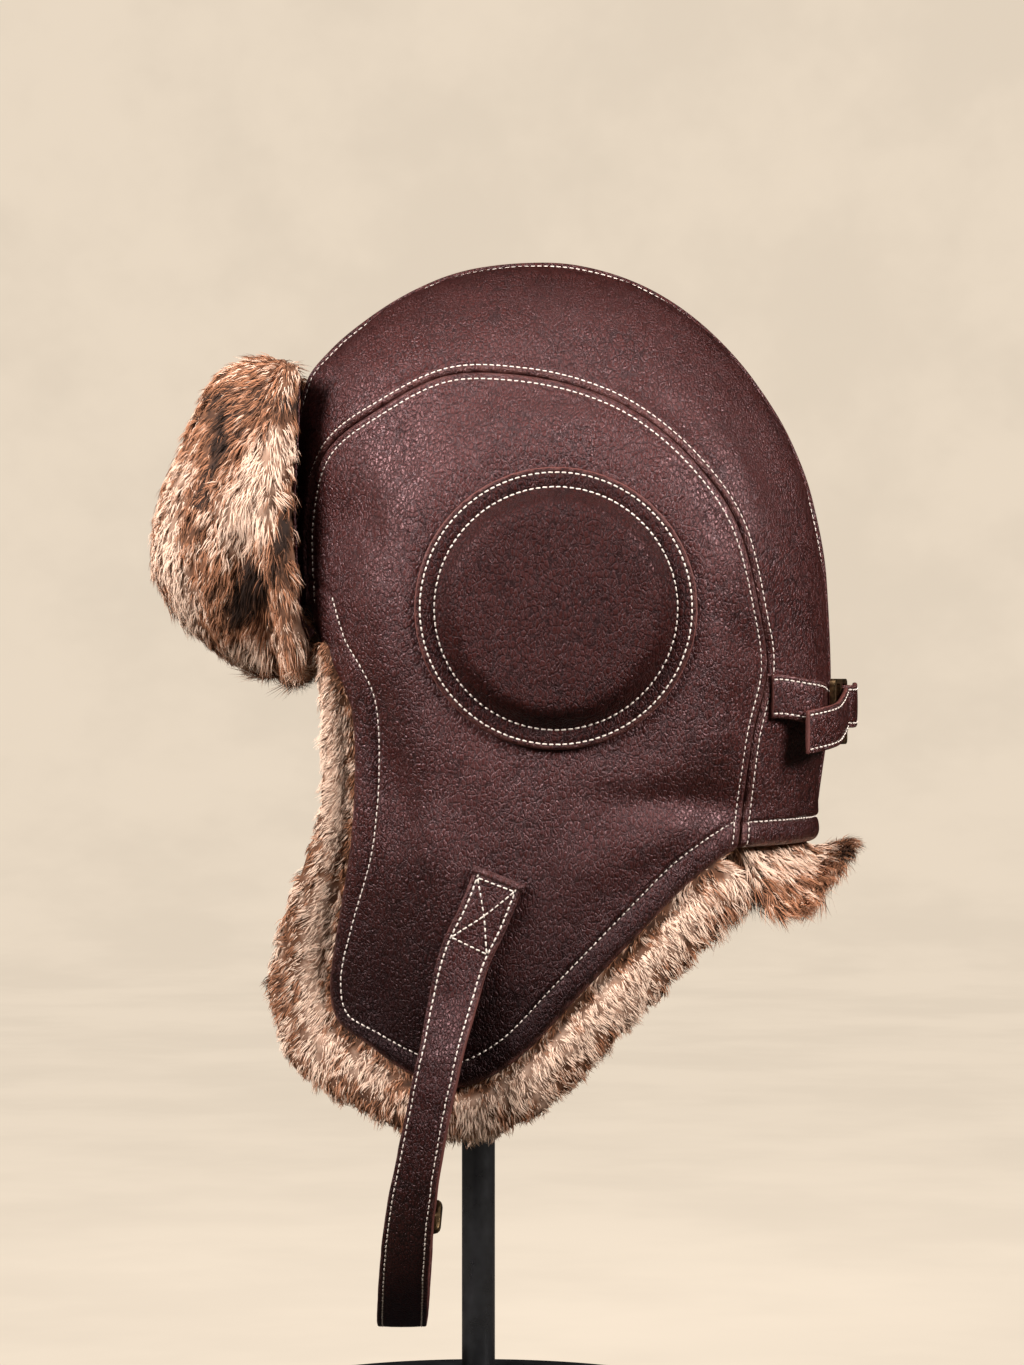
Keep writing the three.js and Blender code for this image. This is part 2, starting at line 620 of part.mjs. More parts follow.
// The places at a depth behind the fur side, from the sewn edge to the top.
function flapColumn(s, depth) {
  const line = flapLine(s);
  return line.map(({ out, z }, i) => {
    const before = line[max(0, i - 1)];
    const after = line[min(line.length - 1, i + 1)];
    const length = hypot(after.out - before.out, after.z - before.z);
    const [goOut, goUp] = [(after.out - before.out) / length, (after.z - before.z) / length];
    return forehead(s, out - depth * goUp, z + depth * goOut);
  });
}

const flapStations = Array.from({ length: flapStationsAcross + 1 }, (_, k) => mix(-1, 1, k / flapStationsAcross));

function foreheadFlap() {
  return slab(
    flapStations.map((s) => flapColumn(s, 0)),
    flapStations.map((s) => flapColumn(s, leather)),
  );
}

function foreheadFur() {
  const outer = flapStations.map((s, k) => {
    const end = flapEnd(s);
    return flapSection.map((row, i) => {
      const along = i / (flapSection.length - 1);
      const lock = (k + i) % 2 ? lockRelief : -lockRelief;
      const outEnd = (0.1 + 0.22 * sin(PI * along) ** 0.7) * bulge + lock / 2;
      const zEnd = mix(-1.7 * foldDrop, flapRise - cornerDrop, along);
      const z = mix(row.furZ * flapRise, zEnd, end) - lock / 2;
      return forehead(s * 1.04, mix(row.furOut * bulge + lock, outEnd, end), z);
    });
  });
  return slab(
    outer,
    flapStations.map((s) => flapColumn(s, -gap).slice(1)),
  );
}

// The whole loop of the chin strap: places of its outer face from the left flap down and up to the right flap.
const chinHalf = chinRoute.map((r) => {
  const [y, z] = [r.y * halfLength, -r.down * loopDrop];
  return r.sewn ? under(y, z, -strapThickness - strapLift) : vec(r.x * halfWidth, y, z);
});
const other = (list, flip) => list.slice(0, -1).reverse().map(flip);
const chinLine = new THREE.CatmullRomCurve3(
  [...chinHalf, ...other(chinHalf, (p) => vec(-p.x, p.y, p.z))],
  false,
  "centripetal",
);
const chinTurns = [...chinRoute.map((r) => r.turn), ...other(chinRoute, (r) => -r.turn)];
const chinPlaces = chinTurns.length - 1;
const sewnPlaces = chinRoute.filter((r) => r.sewn).length;

// A place of the chin strap, how it lies and which way it goes, by the number of the place in the loop.
function chinFrame(q) {
  const k = min(chinPlaces - 1, Math.floor(q));
  const turn = mix(chinTurns[k], chinTurns[k + 1], smooth(q - k));
  const tangent = chinLine.getTangent(q / chinPlaces);
  const place = chinLine.getPoint(q / chinPlaces);
  const across = vec(0, 1, 0).addScaledVector(tangent, -tangent.y).normalize();
  across.applyAxisAngle(tangent, (turn * PI) / 180);
  const face = tangent.clone().cross(across).normalize();
  const end = min(q, chinPlaces - q); // places from the nearer sewn end
  const leatherFace = faceNormal(place.y, place.z);
  if (place.x < 0) leatherFace.x *= -1;
  face.lerp(leatherFace, 1 - smooth(end - sewnPlaces + 1)).normalize();
  across.copy(face).cross(tangent).normalize();
  face.copy(tangent).cross(across).normalize();
  return { place, across, face, tangent };
}

// One length of the chin strap, which stops short of the place where it meets the other.
function chinStrap(from, to, shortFrom, shortTo) {
  const steps = 2 * (to - from);
  const outer = [];
  const inner = [];
  for (let i = 0; i <= steps; i++) {
    const { place, across, face, tangent } = chinFrame(mix(from, to, i / steps));
    if (i === 0) place.addScaledVector(tangent, shortFrom);
    if (i === steps) place.addScaledVector(tangent, -shortTo);
    const row = (depth) =>
      [-1, -0.8, 0.8, 1].map((w) => {
        const rounded = abs(w) === 1 ? mix(depth, strapThickness / 2, 0.4) : depth;
        return place.clone().addScaledVector(across, (w * strapWidth) / 2).addScaledVector(face, -rounded);
      });
    outer.push(row(0));
    inner.push(row(strapThickness));
  }
  return slab(outer, inner);
}

// A plate with rounded corners and rectangular windows, in the XY plane and centred on the origin.
function plate(length, height, depth, corner, windows) {
  const shape = new THREE.Shape();
  const [a, b] = [length / 2, height / 2];
  shape.moveTo(-a + corner, -b);
  shape.lineTo(a - corner, -b);
  shape.quadraticCurveTo(a, -b, a, -b + corner);
  shape.lineTo(a, b - corner);
  shape.quadraticCurveTo(a, b, a - corner, b);
  shape.lineTo(-a + corner, b);
  shape.quadraticCurveTo(-a, b, -a, b - corner);
  shape.lineTo(-a, -b + corner);
  shape.quadraticCurveTo(-a, -b, -a + corner, -b);
  for (const w of windows) {
    const hole = new THREE.Path();
    hole.moveTo(w.x - w.half, -w.tall);
    hole.lineTo(w.x - w.half, w.tall);
    hole.lineTo(w.x, w.tall + buckleWall / 5);
    hole.lineTo(w.x + w.half, w.tall);
    hole.lineTo(w.x + w.half, -w.tall);
    hole.lineTo(w.x, -w.tall - buckleWall / 5);
    shape.holes.push(hole);
  }
  const geometry = new THREE.ExtrudeGeometry(shape, { depth, bevelEnabled: false, curveSegments: 3 });
  geometry.deleteAttribute("uv");
  return geometry.translate(0, 0, -depth / 2);
}

function chinClasp() {
  const { place, across, face, tangent } = chinFrame(claspPlace);
  const geometry = plate(claspLength, claspWidth, claspThickness, 3, []);
  place.addScaledVector(face, gap + claspThickness / 2);
  const frame = new THREE.Matrix4().makeBasis(tangent, across, face);
  return geometry.applyMatrix4(frame).translate(place.x, place.y, place.z);
}

// The line of the back strap round the crown: u is the length along it from the buckle, plus towards the left.
const backLine = (() => {
  const wide = 0.85 * halfWidth;
  const places = Array.from({ length: 301 }, (_, i) => mix(-wide, wide, i / 300));
  const points = places.map((x) => offShell(1, x, -backStrapDrop, 0));
  const length = [0];
  for (let i = 1; i < points.length; i++) length.push(length[i - 1] + points[i].distanceTo(points[i - 1]));
  const middle = length[(points.length - 1) / 2];
  return (u) => {
    const want = middle + u;
    let i = 1;
    while (i < length.length - 1 && length[i] < want) i++;
    const t = (want - length[i - 1]) / (length[i] - length[i - 1]);
    return mix(points[i - 1].x, points[i].x, t);
  };
})();

// A place by its length along the back strap's line, its height off the leather and its height across the strap.
// Round the buckle the strap lies in the plane of the buckle instead of following the leather.
const onCrown = (u, out) => offShell(1, backLine(u), -backStrapDrop, out);
const buckleMiddle = onCrown(buckleOffset, buckleStandOff);
const buckleAlong = onCrown(buckleOffset + 1, 0).sub(onCrown(buckleOffset - 1, 0)).normalize();
const buckleAway = onCrown(buckleOffset, 1).sub(onCrown(buckleOffset, 0)).normalize();

function backPlace(u, out, up) {
  const flat = buckleMiddle.clone();
  flat.addScaledVector(buckleAlong, u - buckleOffset).addScaledVector(buckleAway, out - buckleStandOff);
  const off = smooth((abs(u - buckleOffset) - buckleLength * 0.55) / buckleLength);
  return flat.lerp(onCrown(u, out), off).add(vec(0, 0, up));
}

// A strap round the back, by places of its middle layer: u along, out off the leather, low below the line.
function backStrap(route) {
  const line = new THREE.CatmullRomCurve3(
    route.map((r) => vec(r.u, r.out, -r.low)),
    false,
    "centripetal",
  );
  const steps = 2 * (route.length - 1);
  const outer = [];
  const inner = [];
  for (let i = 0; i <= steps; i++) {
    const p = line.getPoint(i / steps);
    const d = line.getTangent(i / steps);
    const [nu, nout] = [-d.y, d.x];
    const size = hypot(nu, nout);
    const row = (side) =>
      [-1, 1].map((w) =>
        backPlace(
          p.x + (side * nu * backStrapThickness) / 2 / size,
          p.y + (side * nout * backStrapThickness) / 2 / size,
          p.z + (w * backStrapWidth) / 2,
        ),
      );
    outer.push(row(1));
    inner.push(row(-1));
  }
  return slab(outer, inner);
}

const seamLine = 78; // the side seam, along the back strap's line
const onLeather = backStrapThickness / 2 + 2 * gap;
const turn = buckleWall * 0.71 + gap + backStrapThickness / 2; // radius of the strap's fold over a bar of the buckle

// The half circle of a strap over a bar of the buckle, from the side away from the leather to the side next to it.
const foldOver = (bar, side, low) =>
  [0, 0.25, 0.5, 0.75, 1].map((t) => ({
    u: bar + side * turn * sin(PI * t),
    out: buckleStandOff + turn * cos(PI * t),
    low,
  }));

function backStrapLeft() {
  const bar = buckleOffset; // the buckle's middle bar
  const under = buckleStandOff - turn;
  const over = buckleStandOff + turn;
  return backStrap([
    { u: seamLine, out: onLeather, low: -freeEndDrop / 6 },
    { u: mix(seamLine, bar, 0.12), out: onLeather + gap, low: -freeEndDrop / 6 },
    { u: mix(seamLine, bar, 0.4), out: buckleStandOff - gap, low: 0 },
    { u: bar + buckleLength / 2, out: under, low: freeEndDrop / 6 },
    ...foldOver(bar, -1, freeEndDrop / 4).reverse(),
    { u: bar + buckleLength / 2, out: over + gap, low: 0.62 * freeEndDrop },
    { u: bar + freeEnd, out: over + gap, low: freeEndDrop },
  ]);
}

function backStrapRight() {
  const end = buckleOffset - buckleLength / 2 + buckleWall / 2; // the buckle's far bar
  const under = buckleStandOff - turn;
  const over = buckleStandOff + turn;
  return backStrap([
    { u: end - foldTail, out: over - gap, low: freeEndDrop / 12 },
    { u: end - 0.36 * foldTail, out: over, low: freeEndDrop / 6 },
    ...foldOver(end, 1, freeEndDrop / 6),
    { u: end - 0.64 * foldTail, out: under - gap / 2, low: freeEndDrop / 6 },
    { u: mix(end, -seamLine, 0.3), out: onLeather + gap, low: freeEndDrop / 12 },
    { u: mix(end, -seamLine, 0.65), out: onLeather + gap, low: 0 },
    { u: mix(end, -seamLine, 0.94), out: onLeather, low: -freeEndDrop / 12 },
    { u: -seamLine, out: onLeather, low: -freeEndDrop / 6 },
  ]);
}

function backBuckle() {
  const half = (buckleLength / 2 - 1.5 * buckleWall) / 2;
  const tall = buckleHeight / 2 - buckleWall;
  const windows = [-1, 1].map((side) => ({ x: side * (buckleWall / 2 + half), half, tall }));
  const geometry = plate(buckleLength, buckleHeight, buckleWall, 2.5, windows);
  const middle = backPlace(buckleOffset, buckleStandOff, -freeEndDrop / 3);
  const upright = buckleAway.clone().cross(buckleAlong);
  const frame = new THREE.Matrix4().makeBasis(buckleAlong, upright, buckleAway);
  return geometry.applyMatrix4(frame).translate(middle.x, middle.y, middle.z);
}

// The stand, turned about its post. Its domed head stops short of the underside of the crown.
const baseTop = -loopDrop - strapThickness - floorClearance;
const ballGap = 2 * gap;
const crownMiddle = crownStations.map((u) => crownUnder(u, 0, leather));
let ballCentre = Infinity;
for (let i = 1; i < crownMiddle.length; i++)
  for (let t = 0; t <= 1; t += 0.1) {
    const p = crownMiddle[i - 1].clone().lerp(crownMiddle[i], t);
    const away = p.y + postForward;
    const reach = domeRadius + ballGap;
    if (abs(away) < domeHalfWidth && p.z > 0) ballCentre = min(ballCentre, p.z - sqrt(reach ** 2 - away ** 2));
  }
const turned = (profileOf, sides) => {
  const geometry = new THREE.LatheGeometry(
    profileOf.map(([r, z]) => new THREE.Vector2(r, z)),
    sides,
  );
  geometry.deleteAttribute("uv");
  return geometry.rotateX(PI / 2).translate(0, -postForward, 0);
};

function standBase() {
  const bottom = baseTop - baseThickness;
  const chamfer = baseThickness / 4;
  return turned(
    [
      [0, bottom],
      [baseRadius - chamfer / 2, bottom],
      [baseRadius, bottom + chamfer / 2],
      [baseRadius, baseTop - chamfer],
      [baseRadius - chamfer, baseTop],
      [0, baseTop],
    ],
    36,
  );
}

// The domed head seen in section, from its rim to its top.
const headSteps = 5;
const headArc = Array.from({ length: headSteps + 1 }, (_, i) => {
  const r = domeHalfWidth * (1 - i / headSteps);
  return [r, ballCentre + sqrt(domeRadius ** 2 - r ** 2)];
});
const postTop = headArc[0][1] - domeRim;

function standPost() {
  return turned([[0, baseTop], [postRadius, baseTop], [postRadius, postTop], [0, postTop]], 24);
}

function standHead() {
  return turned([[0, postTop], [domeHalfWidth - domeRim / 3, postTop], ...headArc], 24);
}

// Materials, one for each finish
const finish = (color, roughness, metalness = 0) => new THREE.MeshStandardMaterial({ color, roughness, metalness });
const helmet = new THREE.Group();
const add = (name, geometry, color, roughness, metalness) => {
  const mesh = new THREE.Mesh(geometry, finish(color, roughness, metalness));
  mesh.name = name;
  helmet.add(mesh);
};
const brown = [0x4e2f2b, 0.5];
const darkBrown = [0x42241f, 0.55];
const furColor = [0xa4806b, 0.95];
const bronze = [0x5a4a32, 0.45, 1];
const black = [0x0d0d0e, 0.4];

for (const [side, geometry] of [
  ["left", (g) => g],
  ["right", mirrored],
]) {
  add(`crown_panel_${side}`, geometry(crownPanel()), ...brown);
  add(`side_panel_${side}`, geometry(sidePanel()), ...brown);
  add(`ear_disc_${side}`, geometry(earDisc()), ...darkBrown);
  add(`fur_lining_${side}`, geometry(flapFur()), ...furColor);
}
add("fur_lining_nape", napeFur(), ...furColor);
add("forehead_flap", foreheadFlap(), ...brown);
add("forehead_fur", foreheadFur(), ...furColor);
add("chin_strap_left", chinStrap(0, claspPlace, 0, gap), ...brown);
add("chin_strap_right", chinStrap(claspPlace, chinPlaces, gap, 0), ...brown);
add("chin_clasp", chinClasp(), ...bronze);
add("back_strap_left", backStrapLeft(), ...brown);
add("back_strap_right", backStrapRight(), ...brown);
add("back_buckle", backBuckle(), ...bronze);
add("stand_base", standBase(), ...black);
add("stand_post", standPost(), ...black);
add("stand_head", standHead(), ...black);

const part = new THREE.Group();
helmet.position.set(0, postForward, baseThickness - baseTop);
part.add(helmet);
export default part;
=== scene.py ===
"""A leather flying helmet with a fur lining on a plain stand, modelled over its frame."""

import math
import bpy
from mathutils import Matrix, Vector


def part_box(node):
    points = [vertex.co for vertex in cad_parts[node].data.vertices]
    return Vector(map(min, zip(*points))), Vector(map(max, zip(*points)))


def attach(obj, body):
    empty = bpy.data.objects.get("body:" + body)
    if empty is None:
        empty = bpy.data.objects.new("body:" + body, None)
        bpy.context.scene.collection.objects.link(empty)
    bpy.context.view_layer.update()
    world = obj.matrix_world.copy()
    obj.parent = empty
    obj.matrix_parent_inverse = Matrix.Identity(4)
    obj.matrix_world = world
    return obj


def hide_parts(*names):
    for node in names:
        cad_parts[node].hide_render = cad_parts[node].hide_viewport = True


bl_info = {
    "name": "Flying Helmet",
    "version": (1, 0, 0),
    "blender": (4, 5, 0),
    "location": "3D View > Sidebar > Helmet",
    "description": "Models a leather flying helmet with a fur lining on a plain stand",
    "category": "Add Mesh",
}

import bmesh
import bpy
import numpy as np
from bpy.props import FloatProperty, FloatVectorProperty, IntProperty, PointerProperty
from mathutils import Matrix, Vector, kdtree, noise
from mathutils.bvhtree import BVHTree

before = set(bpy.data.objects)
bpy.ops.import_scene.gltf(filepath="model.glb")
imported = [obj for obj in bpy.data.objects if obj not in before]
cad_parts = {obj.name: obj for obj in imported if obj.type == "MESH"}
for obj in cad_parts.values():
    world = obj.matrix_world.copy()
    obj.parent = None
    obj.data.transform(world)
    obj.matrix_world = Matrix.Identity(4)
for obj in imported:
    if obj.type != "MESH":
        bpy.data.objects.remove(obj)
SIDES = (("left", 1), ("right", -1))


# Settings that a user would change


def length(name, description, default):
    kind = {"subtype": "DISTANCE", "unit": "LENGTH", "precision": 5}
    return FloatProperty(name=name, description=description, default=default, **kind)


def colour(name, description, default):
    return FloatVectorProperty(name=name, description=description, default=default, subtype="COLOR", min=0, max=1)


def number(name, description, default):
    return IntProperty(name=name, description=description, default=default, min=100)


def strength(name, description, default, subtype="POWER"):
    return FloatProperty(name=name, description=description, default=default, min=0, subtype=subtype)


class LeatherSettings(bpy.types.PropertyGroup):
    """Leather of the panels, flaps and straps."""

    thickness: length("Thickness", "Thickness of one layer", 0.0015)
    puff: length("Hem puff", "How far the turned hem stands out", 0.0016)
    slack: length("Slack", "How far the leather's small waves rise and fall", 0.001)
    grain: length("Grain", "Width of one pebble of the grain", 0.0016)
    brown: colour("Colour", "Colour of the leather", (0.044, 0.0088, 0.0066))
    # The worn colour also serves as the painted highlight on the fold of a strap's turned-under end.
    worn_and_highlight: colour("Worn colour", "Colour where the leather is rubbed", (0.11, 0.045, 0.038))
    raw: colour("Cut edge", "Colour of the cut edges", (0.1, 0.022, 0.015))


class ThreadSettings(bpy.types.PropertyGroup):
    """Stitching."""

    pitch: length("Pitch", "From one stitch to the next", 0.0026)
    stitch: length("Stitch", "Length of one stitch", 0.0020)
    width: length("Width", "Width of the thread", 0.00062)
    shade: colour("Colour", "Colour of the thread", (0.86, 0.74, 0.64))


class FurSettings(bpy.types.PropertyGroup):
    """Fur of the lining and of the forehead flap."""

    hair: length("Hair", "Length of the hair", 0.0095)
    width: length("Hair width", "Width of one hair at its thickest", 0.00042)
    forehead: number("Forehead hairs", "Number of hairs on the forehead flap", 56000)
    flap: number("Flap hairs", "Number of hairs on each ear flap", 34000)
    nape: number("Nape hairs", "Number of hairs at the nape", 20000)
    cream: colour("Light hair", "Colour of the light hair", (0.78, 0.56, 0.42))
    tan: colour("Tan hair", "Colour of the tips and of the tan hair", (0.36, 0.15, 0.075))
    dark: colour("Dark hair", "Colour of the dark hair and of the roots", (0.022, 0.011, 0.007))


class StandSettings(bpy.types.PropertyGroup):
    """Stand and metal."""

    black: colour("Paint", "Colour of the stand", (0.012, 0.012, 0.013))
    bronze: colour("Bronze", "Colour of the buckle and clasp", (0.16, 0.1, 0.05))


class StageSettings(bpy.types.PropertyGroup):
    """Floor, light and camera."""

    paper: colour("Paper", "Colour of the floor and backdrop", (0.86, 0.73, 0.58))
    glow: strength("Paper glow", "How much of the paper's brightness is its own", 0.92, "FACTOR")
    front: strength("Front light", "Strength of the softbox above the face", 5.6)
    top: strength("Top light", "Strength of the softbox over the crown", 0.8)
    back: strength("Back light", "Strength of the softbox above the nape", 4.8)
    sky: strength("Sky", "Strength of the light from all round", 0.05, "FACTOR")
    distance: length("Camera distance", "From the camera to the middle plane", 1.8)


# The shell's shape, in millimetres round the ear centre: y runs back and z runs up

EAR = np.array([0, 30.5, 324.6])  # the ear centre in the frame
HALF_LENGTH, HALF_WIDTH, CROWN, FLAP, NAPE, LOOP = 107.75, 90, 140.7, 186, 92, 288
HEM, DISC, EAR_PLANE, BLEND = 10, 54.5, 88, 34
ROUND = 2.5  # power of the shell's oval seen from above
TOP_POWERS = 2.3, 0.476  # of its round top seen from behind
TIP_IN = 8  # how much nearer to the middle plane the flaps' tips hang
CREST = 4.6  # half the width of the ridge along the centre seam

PROFILE = np.array((
    (1, -0.037, -0.037), (0.98, -0.314, 0.162), (0.928, -0.503, 0.348), (0.842, -0.69, 0.524),
    (0.749, -0.835, 0.654), (0.663, -0.921, 0.747), (0.496, -0.966, 0.881), (0.323, -0.97, 0.965),
    (0.092, -0.965, 1.018), (-0.223, -0.95, 1.034), (-0.511, -0.94, 0.993), (-0.64, -0.94, 0.974), (-1.4, -0.94, 0.9),
))  # height, then front and back of the oval
SIDE_SEAM = np.array((
    (-0.905, 0.015, 0), (-0.916, 0.24, 0), (-0.845, 0.44, 0), (-0.63, 0.565, 0), (-0.4, 0.65, 0), (-0.158, 0.654, 0),
    (0.084, 0.618, 0), (0.298, 0.544, 0), (0.503, 0.409, 0), (0.659, 0.235, 0), (0.745, 0, 0.02), (0.77, 0, 0.27),
    (0.714, 0, 0.56), (0.664, 0, 1.01),
))  # y, up and down
FLAP_EDGE = np.array((
    (-0.905, -0.011), (-0.85, 0.085), (-0.752, 0.195), (-0.733, 0.325), (-0.747, 0.485), (-0.789, 0.65),
    (-0.82, 0.79), (-0.79, 0.868), (-0.68, 0.915), (-0.53, 0.972), (-0.39, 1), (-0.26, 0.982), (-0.11, 0.925),
    (0.075, 0.812), (0.28, 0.69), (0.465, 0.582), (0.575, 0.532), (0.664, 0.4995),
))  # y and down
FOLDS = np.array((
    (-0.47, -0.37, 95, 0.36, 0.09, 2.7), (-0.6, -0.34, 100, 0.3, 0.07, -1.8), (-0.66, 0.17, -28, 0.2, 0.1, -3),
    (-0.7, -0.03, -50, 0.26, 0.1, 2.4), (0.62, -0.04, -42, 0.16, 0.06, -2.7), (0.48, -0.24, -30, 0.26, 0.13, 2.7),
    (0.42, -0.4, -4, 0.34, 0.07, -2.7), (0.28, -0.5, 20, 0.26, 0.09, 1.8), (-0.64, -0.74, 95, 0.3, 0.08, -2.4),
    (-0.36, -0.66, 105, 0.4, 0.12, 1.5), (0.74, 0.2, -64, 0.42, 0.07, 2.4), (0.85, 0.2, -66, 0.4, 0.06, -1.5),
))  # y, z, turn, length, width and depth of each fold


def mix(a, b, t):
    return a + (b - a) * t


def smooth(t):
    t = np.clip(t, 0, 1)
    return t * t * (3 - 2 * t)


def unit(v):
    return v / np.maximum(np.linalg.norm(v, axis=-1, keepdims=True), 1e-12)


def bell(d, middle, width):
    return np.exp(-(((d - middle) / width) ** 2))


def steady(keys, values, at):
    """A smooth curve through a table, which doesn't overshoot."""
    order = np.argsort(keys)
    keys, values = keys[order], values[order]
    step = np.diff(keys)
    slope = np.diff(values) / step
    product, total = slope[:-1] * slope[1:], slope[:-1] + slope[1:]
    bend = np.where(product > 0, 2 * product / np.where(total == 0, 1, total), 0)
    tangent = np.concatenate([slope[:1], bend, slope[-1:]])
    i = np.clip(np.searchsorted(keys, at, side="right") - 1, 0, len(keys) - 2)
    t = np.clip((at - keys[i]) / step[i], 0, 1)
    leave, arrive = t * step[i] * tangent[i], (1 - t) * step[i] * tangent[i + 1]
    return (1 - t) ** 2 * ((1 + 2 * t) * values[i] + leave) + t**2 * ((3 - 2 * t) * values[i + 1] - arrive)


def lift(share):
    return np.where(share > 0, np.arcsin(np.clip(share, 0, 1)), share)


def oval(z):
    """Front and back of the shell at a height."""
    keys, at = lift(PROFILE[:, 0]), lift(z / CROWN)
    return HALF_LENGTH * steady(keys, PROFILE[:, 1], at), HALF_LENGTH * steady(keys, PROFILE[:, 2], at)


def half_width(z):
    low = HALF_WIDTH - TIP_IN * np.clip(-z / FLAP, 0, None) ** 1.5
    a, b = TOP_POWERS
    return np.where(z <= 0, low, HALF_WIDTH * np.clip(1 - np.clip(z / CROWN, 0, None) ** a, 0, None) ** b)


def face_x(y, z):
    """How far the leather stands from the middle plane, at a place seen from the side."""
    front, back = oval(z)
    half = np.maximum((back - front) / 2, 1e-6)
    x = half_width(z) * np.clip(1 - np.abs((y - (front + back) / 2) / half) ** ROUND, 0, None) ** (1 / ROUND)
    flat = 1 - smooth((np.hypot(y, z) - DISC - 2) / BLEND)
    fold = 0
    for fy, fz, turn, long, wide, deep in FOLDS:
        a = math.radians(turn)
        dy, dz = y - fy * HALF_LENGTH, z - fz * FLAP
        along, across = (dy * math.cos(a) + dz * math.sin(a)) / long, (dz * math.cos(a) - dy * math.sin(a)) / wide
        fold = fold + 1.25 * deep * np.exp(-((along / HALF_LENGTH) ** 4) - (across / HALF_LENGTH) ** 2)
    return np.where(z >= CROWN, 0, mix(x, EAR_PLANE, flat) + fold * (1 - flat))


def on_face(yz):
    return np.concatenate([face_x(yz[..., 0], yz[..., 1])[..., None], yz], -1)


def spline(points, steps):
    """A smooth line through points, as short steps."""
    p = np.asarray(points, float)
    t = np.linspace(0, 1, steps, endpoint=False)[:, None]
    ends = np.vstack([p[:1], p, p[-1:]])
    parts = []
    for a, b, c, d in zip(ends, ends[1:], ends[2:], ends[3:]):
        v, w = (c - a) / 2, (d - b) / 2
        parts.append((2 * b - 2 * c + v + w) * t**3 + (3 * c - 3 * b - 2 * v - w) * t**2 + v * t + b)
    return np.vstack([*parts, p[-1:]])


def run_of(line):
    return np.concatenate([[0], np.cumsum(np.linalg.norm(np.diff(line, axis=0), axis=1))])


def sampled(line, run, at):
    """A line's values at other lengths along it."""
    return np.stack([np.interp(at, run, column) for column in line.T], -1)


def along(line, share):
    """Places on a line, by their share of its length."""
    run = run_of(line)
    return sampled(line, run, share * run[-1])


seam_line = spline(SIDE_SEAM @ [[HALF_LENGTH, 0], [0, CROWN], [0, -NAPE]], 60)
edge_line = spline(FLAP_EDGE * [HALF_LENGTH, -FLAP], 60)


def centre():
    """The centre seam, from the forehead over the top to the nape."""
    rise = mix(float(lift(np.array(SIDE_SEAM[0, 1]))), math.pi / 2, np.linspace(0, 1, 300))
    fall = mix(math.pi / 2, -NAPE / CROWN, np.linspace(0, 1, 300))[1:]
    z = [CROWN * np.where(a > 0, np.sin(a), a) for a in (rise, fall)]
    return np.vstack([np.column_stack([oval(z[0])[0], z[0]]), np.column_stack([oval(z[1])[1], z[1]])])


centre_line = centre()
CENTRE = run_of(centre_line)[-1]
HEM_START = 1 - HEM / CENTRE


def across_from(u):
    return np.clip(u - 0.055 * np.sin(np.pi * np.clip(u, 0, 1)) ** 0.8, 0, 1)


# Rounding of the leather at its seams and hems, by the distance in from the edge

NEAR_EDGE = np.array([0, 0.35, 0.8, 1.3, 1.9, 2.5, 3, 3.5, 4.2, 5.2, 6.6, 8.4])
NEAR_HEM = np.array([0, 0.35, 0.8, 1.4, 2.2, 3.2, 4.4, 5.6, 6.8, 7.8, 8.6, 9.2, 9.6, 10, 10.4, 10.9, 11.6, 12.6])
STITCH_IN = 3.0  # from a seam to its stitching
FINE = 8  # places between two stations of the side panel's edge


def turned(d, radius):
    inside = np.clip(radius - d, 0, radius)
    return np.sqrt(radius**2 - inside**2) - radius


def seam_relief(d):
    return turned(d, 1.7) + 0.55 * bell(d, 1.7, 0.75) - 0.4 * bell(d, STITCH_IN, 0.5) + 0.25 * bell(d, 4.4, 1.0)


def hem_relief(d, puff, groove=0.75):
    roll = np.sin(np.pi * np.clip(d / HEM, 0, 1) ** 0.8)
    return turned(d, 2.2) + puff * roll - groove * bell(d, HEM, 0.7) + 0.3 * bell(d, HEM + 1.8, 1.2)


def waves(points, size, seed=0):
    """Smooth noise from -1 to 1 at places in millimetres."""
    flat = points.reshape(-1, 3) / size + seed * 17.3
    return np.array([noise.noise(p) for p in flat.tolist()]).reshape(points.shape[:-1])


def normals_of(grid, closed=False):
    """Outward normals of a grid of places."""
    if closed:
        ring = np.concatenate([grid[:, -1:], grid, grid[:, :1]], 1)
        across = (ring[:, 2:] - ring[:, :-2]) / 2
    else:
        across = np.gradient(grid, axis=1)
    normal = unit(np.cross(np.gradient(grid, axis=0), across))
    out = np.sum(normal * (grid - np.array([0, 0, 20])), -1).mean()
    return normal if out > 0 else -normal


# Mesh tools


def clear_selection():
    for piece in bpy.context.selected_objects:
        piece.select_set(False)


def take(piece):
    clear_selection()
    piece.select_set(True)
    bpy.context.view_layer.objects.active = piece


def apply_modifier(piece, kind, **settings):
    take(piece)
    modifier = piece.modifiers.new(kind.title(), kind)
    for key, value in settings.items():
        setattr(modifier, key, value)
    bpy.ops.object.modifier_apply(modifier=modifier.name)


def edit(piece, *steps):
    """Edit mode with everything selected, for some operators."""
    take(piece)
    bpy.ops.object.mode_set(mode="EDIT")
    bpy.ops.mesh.select_all(action="SELECT")
    for operator, settings in steps:
        operator(**settings)
    bpy.ops.object.mode_set(mode="OBJECT")


def named(name):
    piece = bpy.context.object
    piece.name = piece.data.name = name
    return piece


def finish(piece, materials, nodes=()):
    """Gives a piece its materials and its place in the frame."""
    for material in materials:
        piece.data.materials.append(material)
    piece.data.shade_smooth()
    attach(piece, "root")
    if nodes:
        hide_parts(*nodes)
    return piece


def shown(name, mesh):
    """A new piece in the scene for a mesh."""
    piece = bpy.data.objects.new(name, mesh)
    bpy.context.collection.objects.link(piece)
    return piece


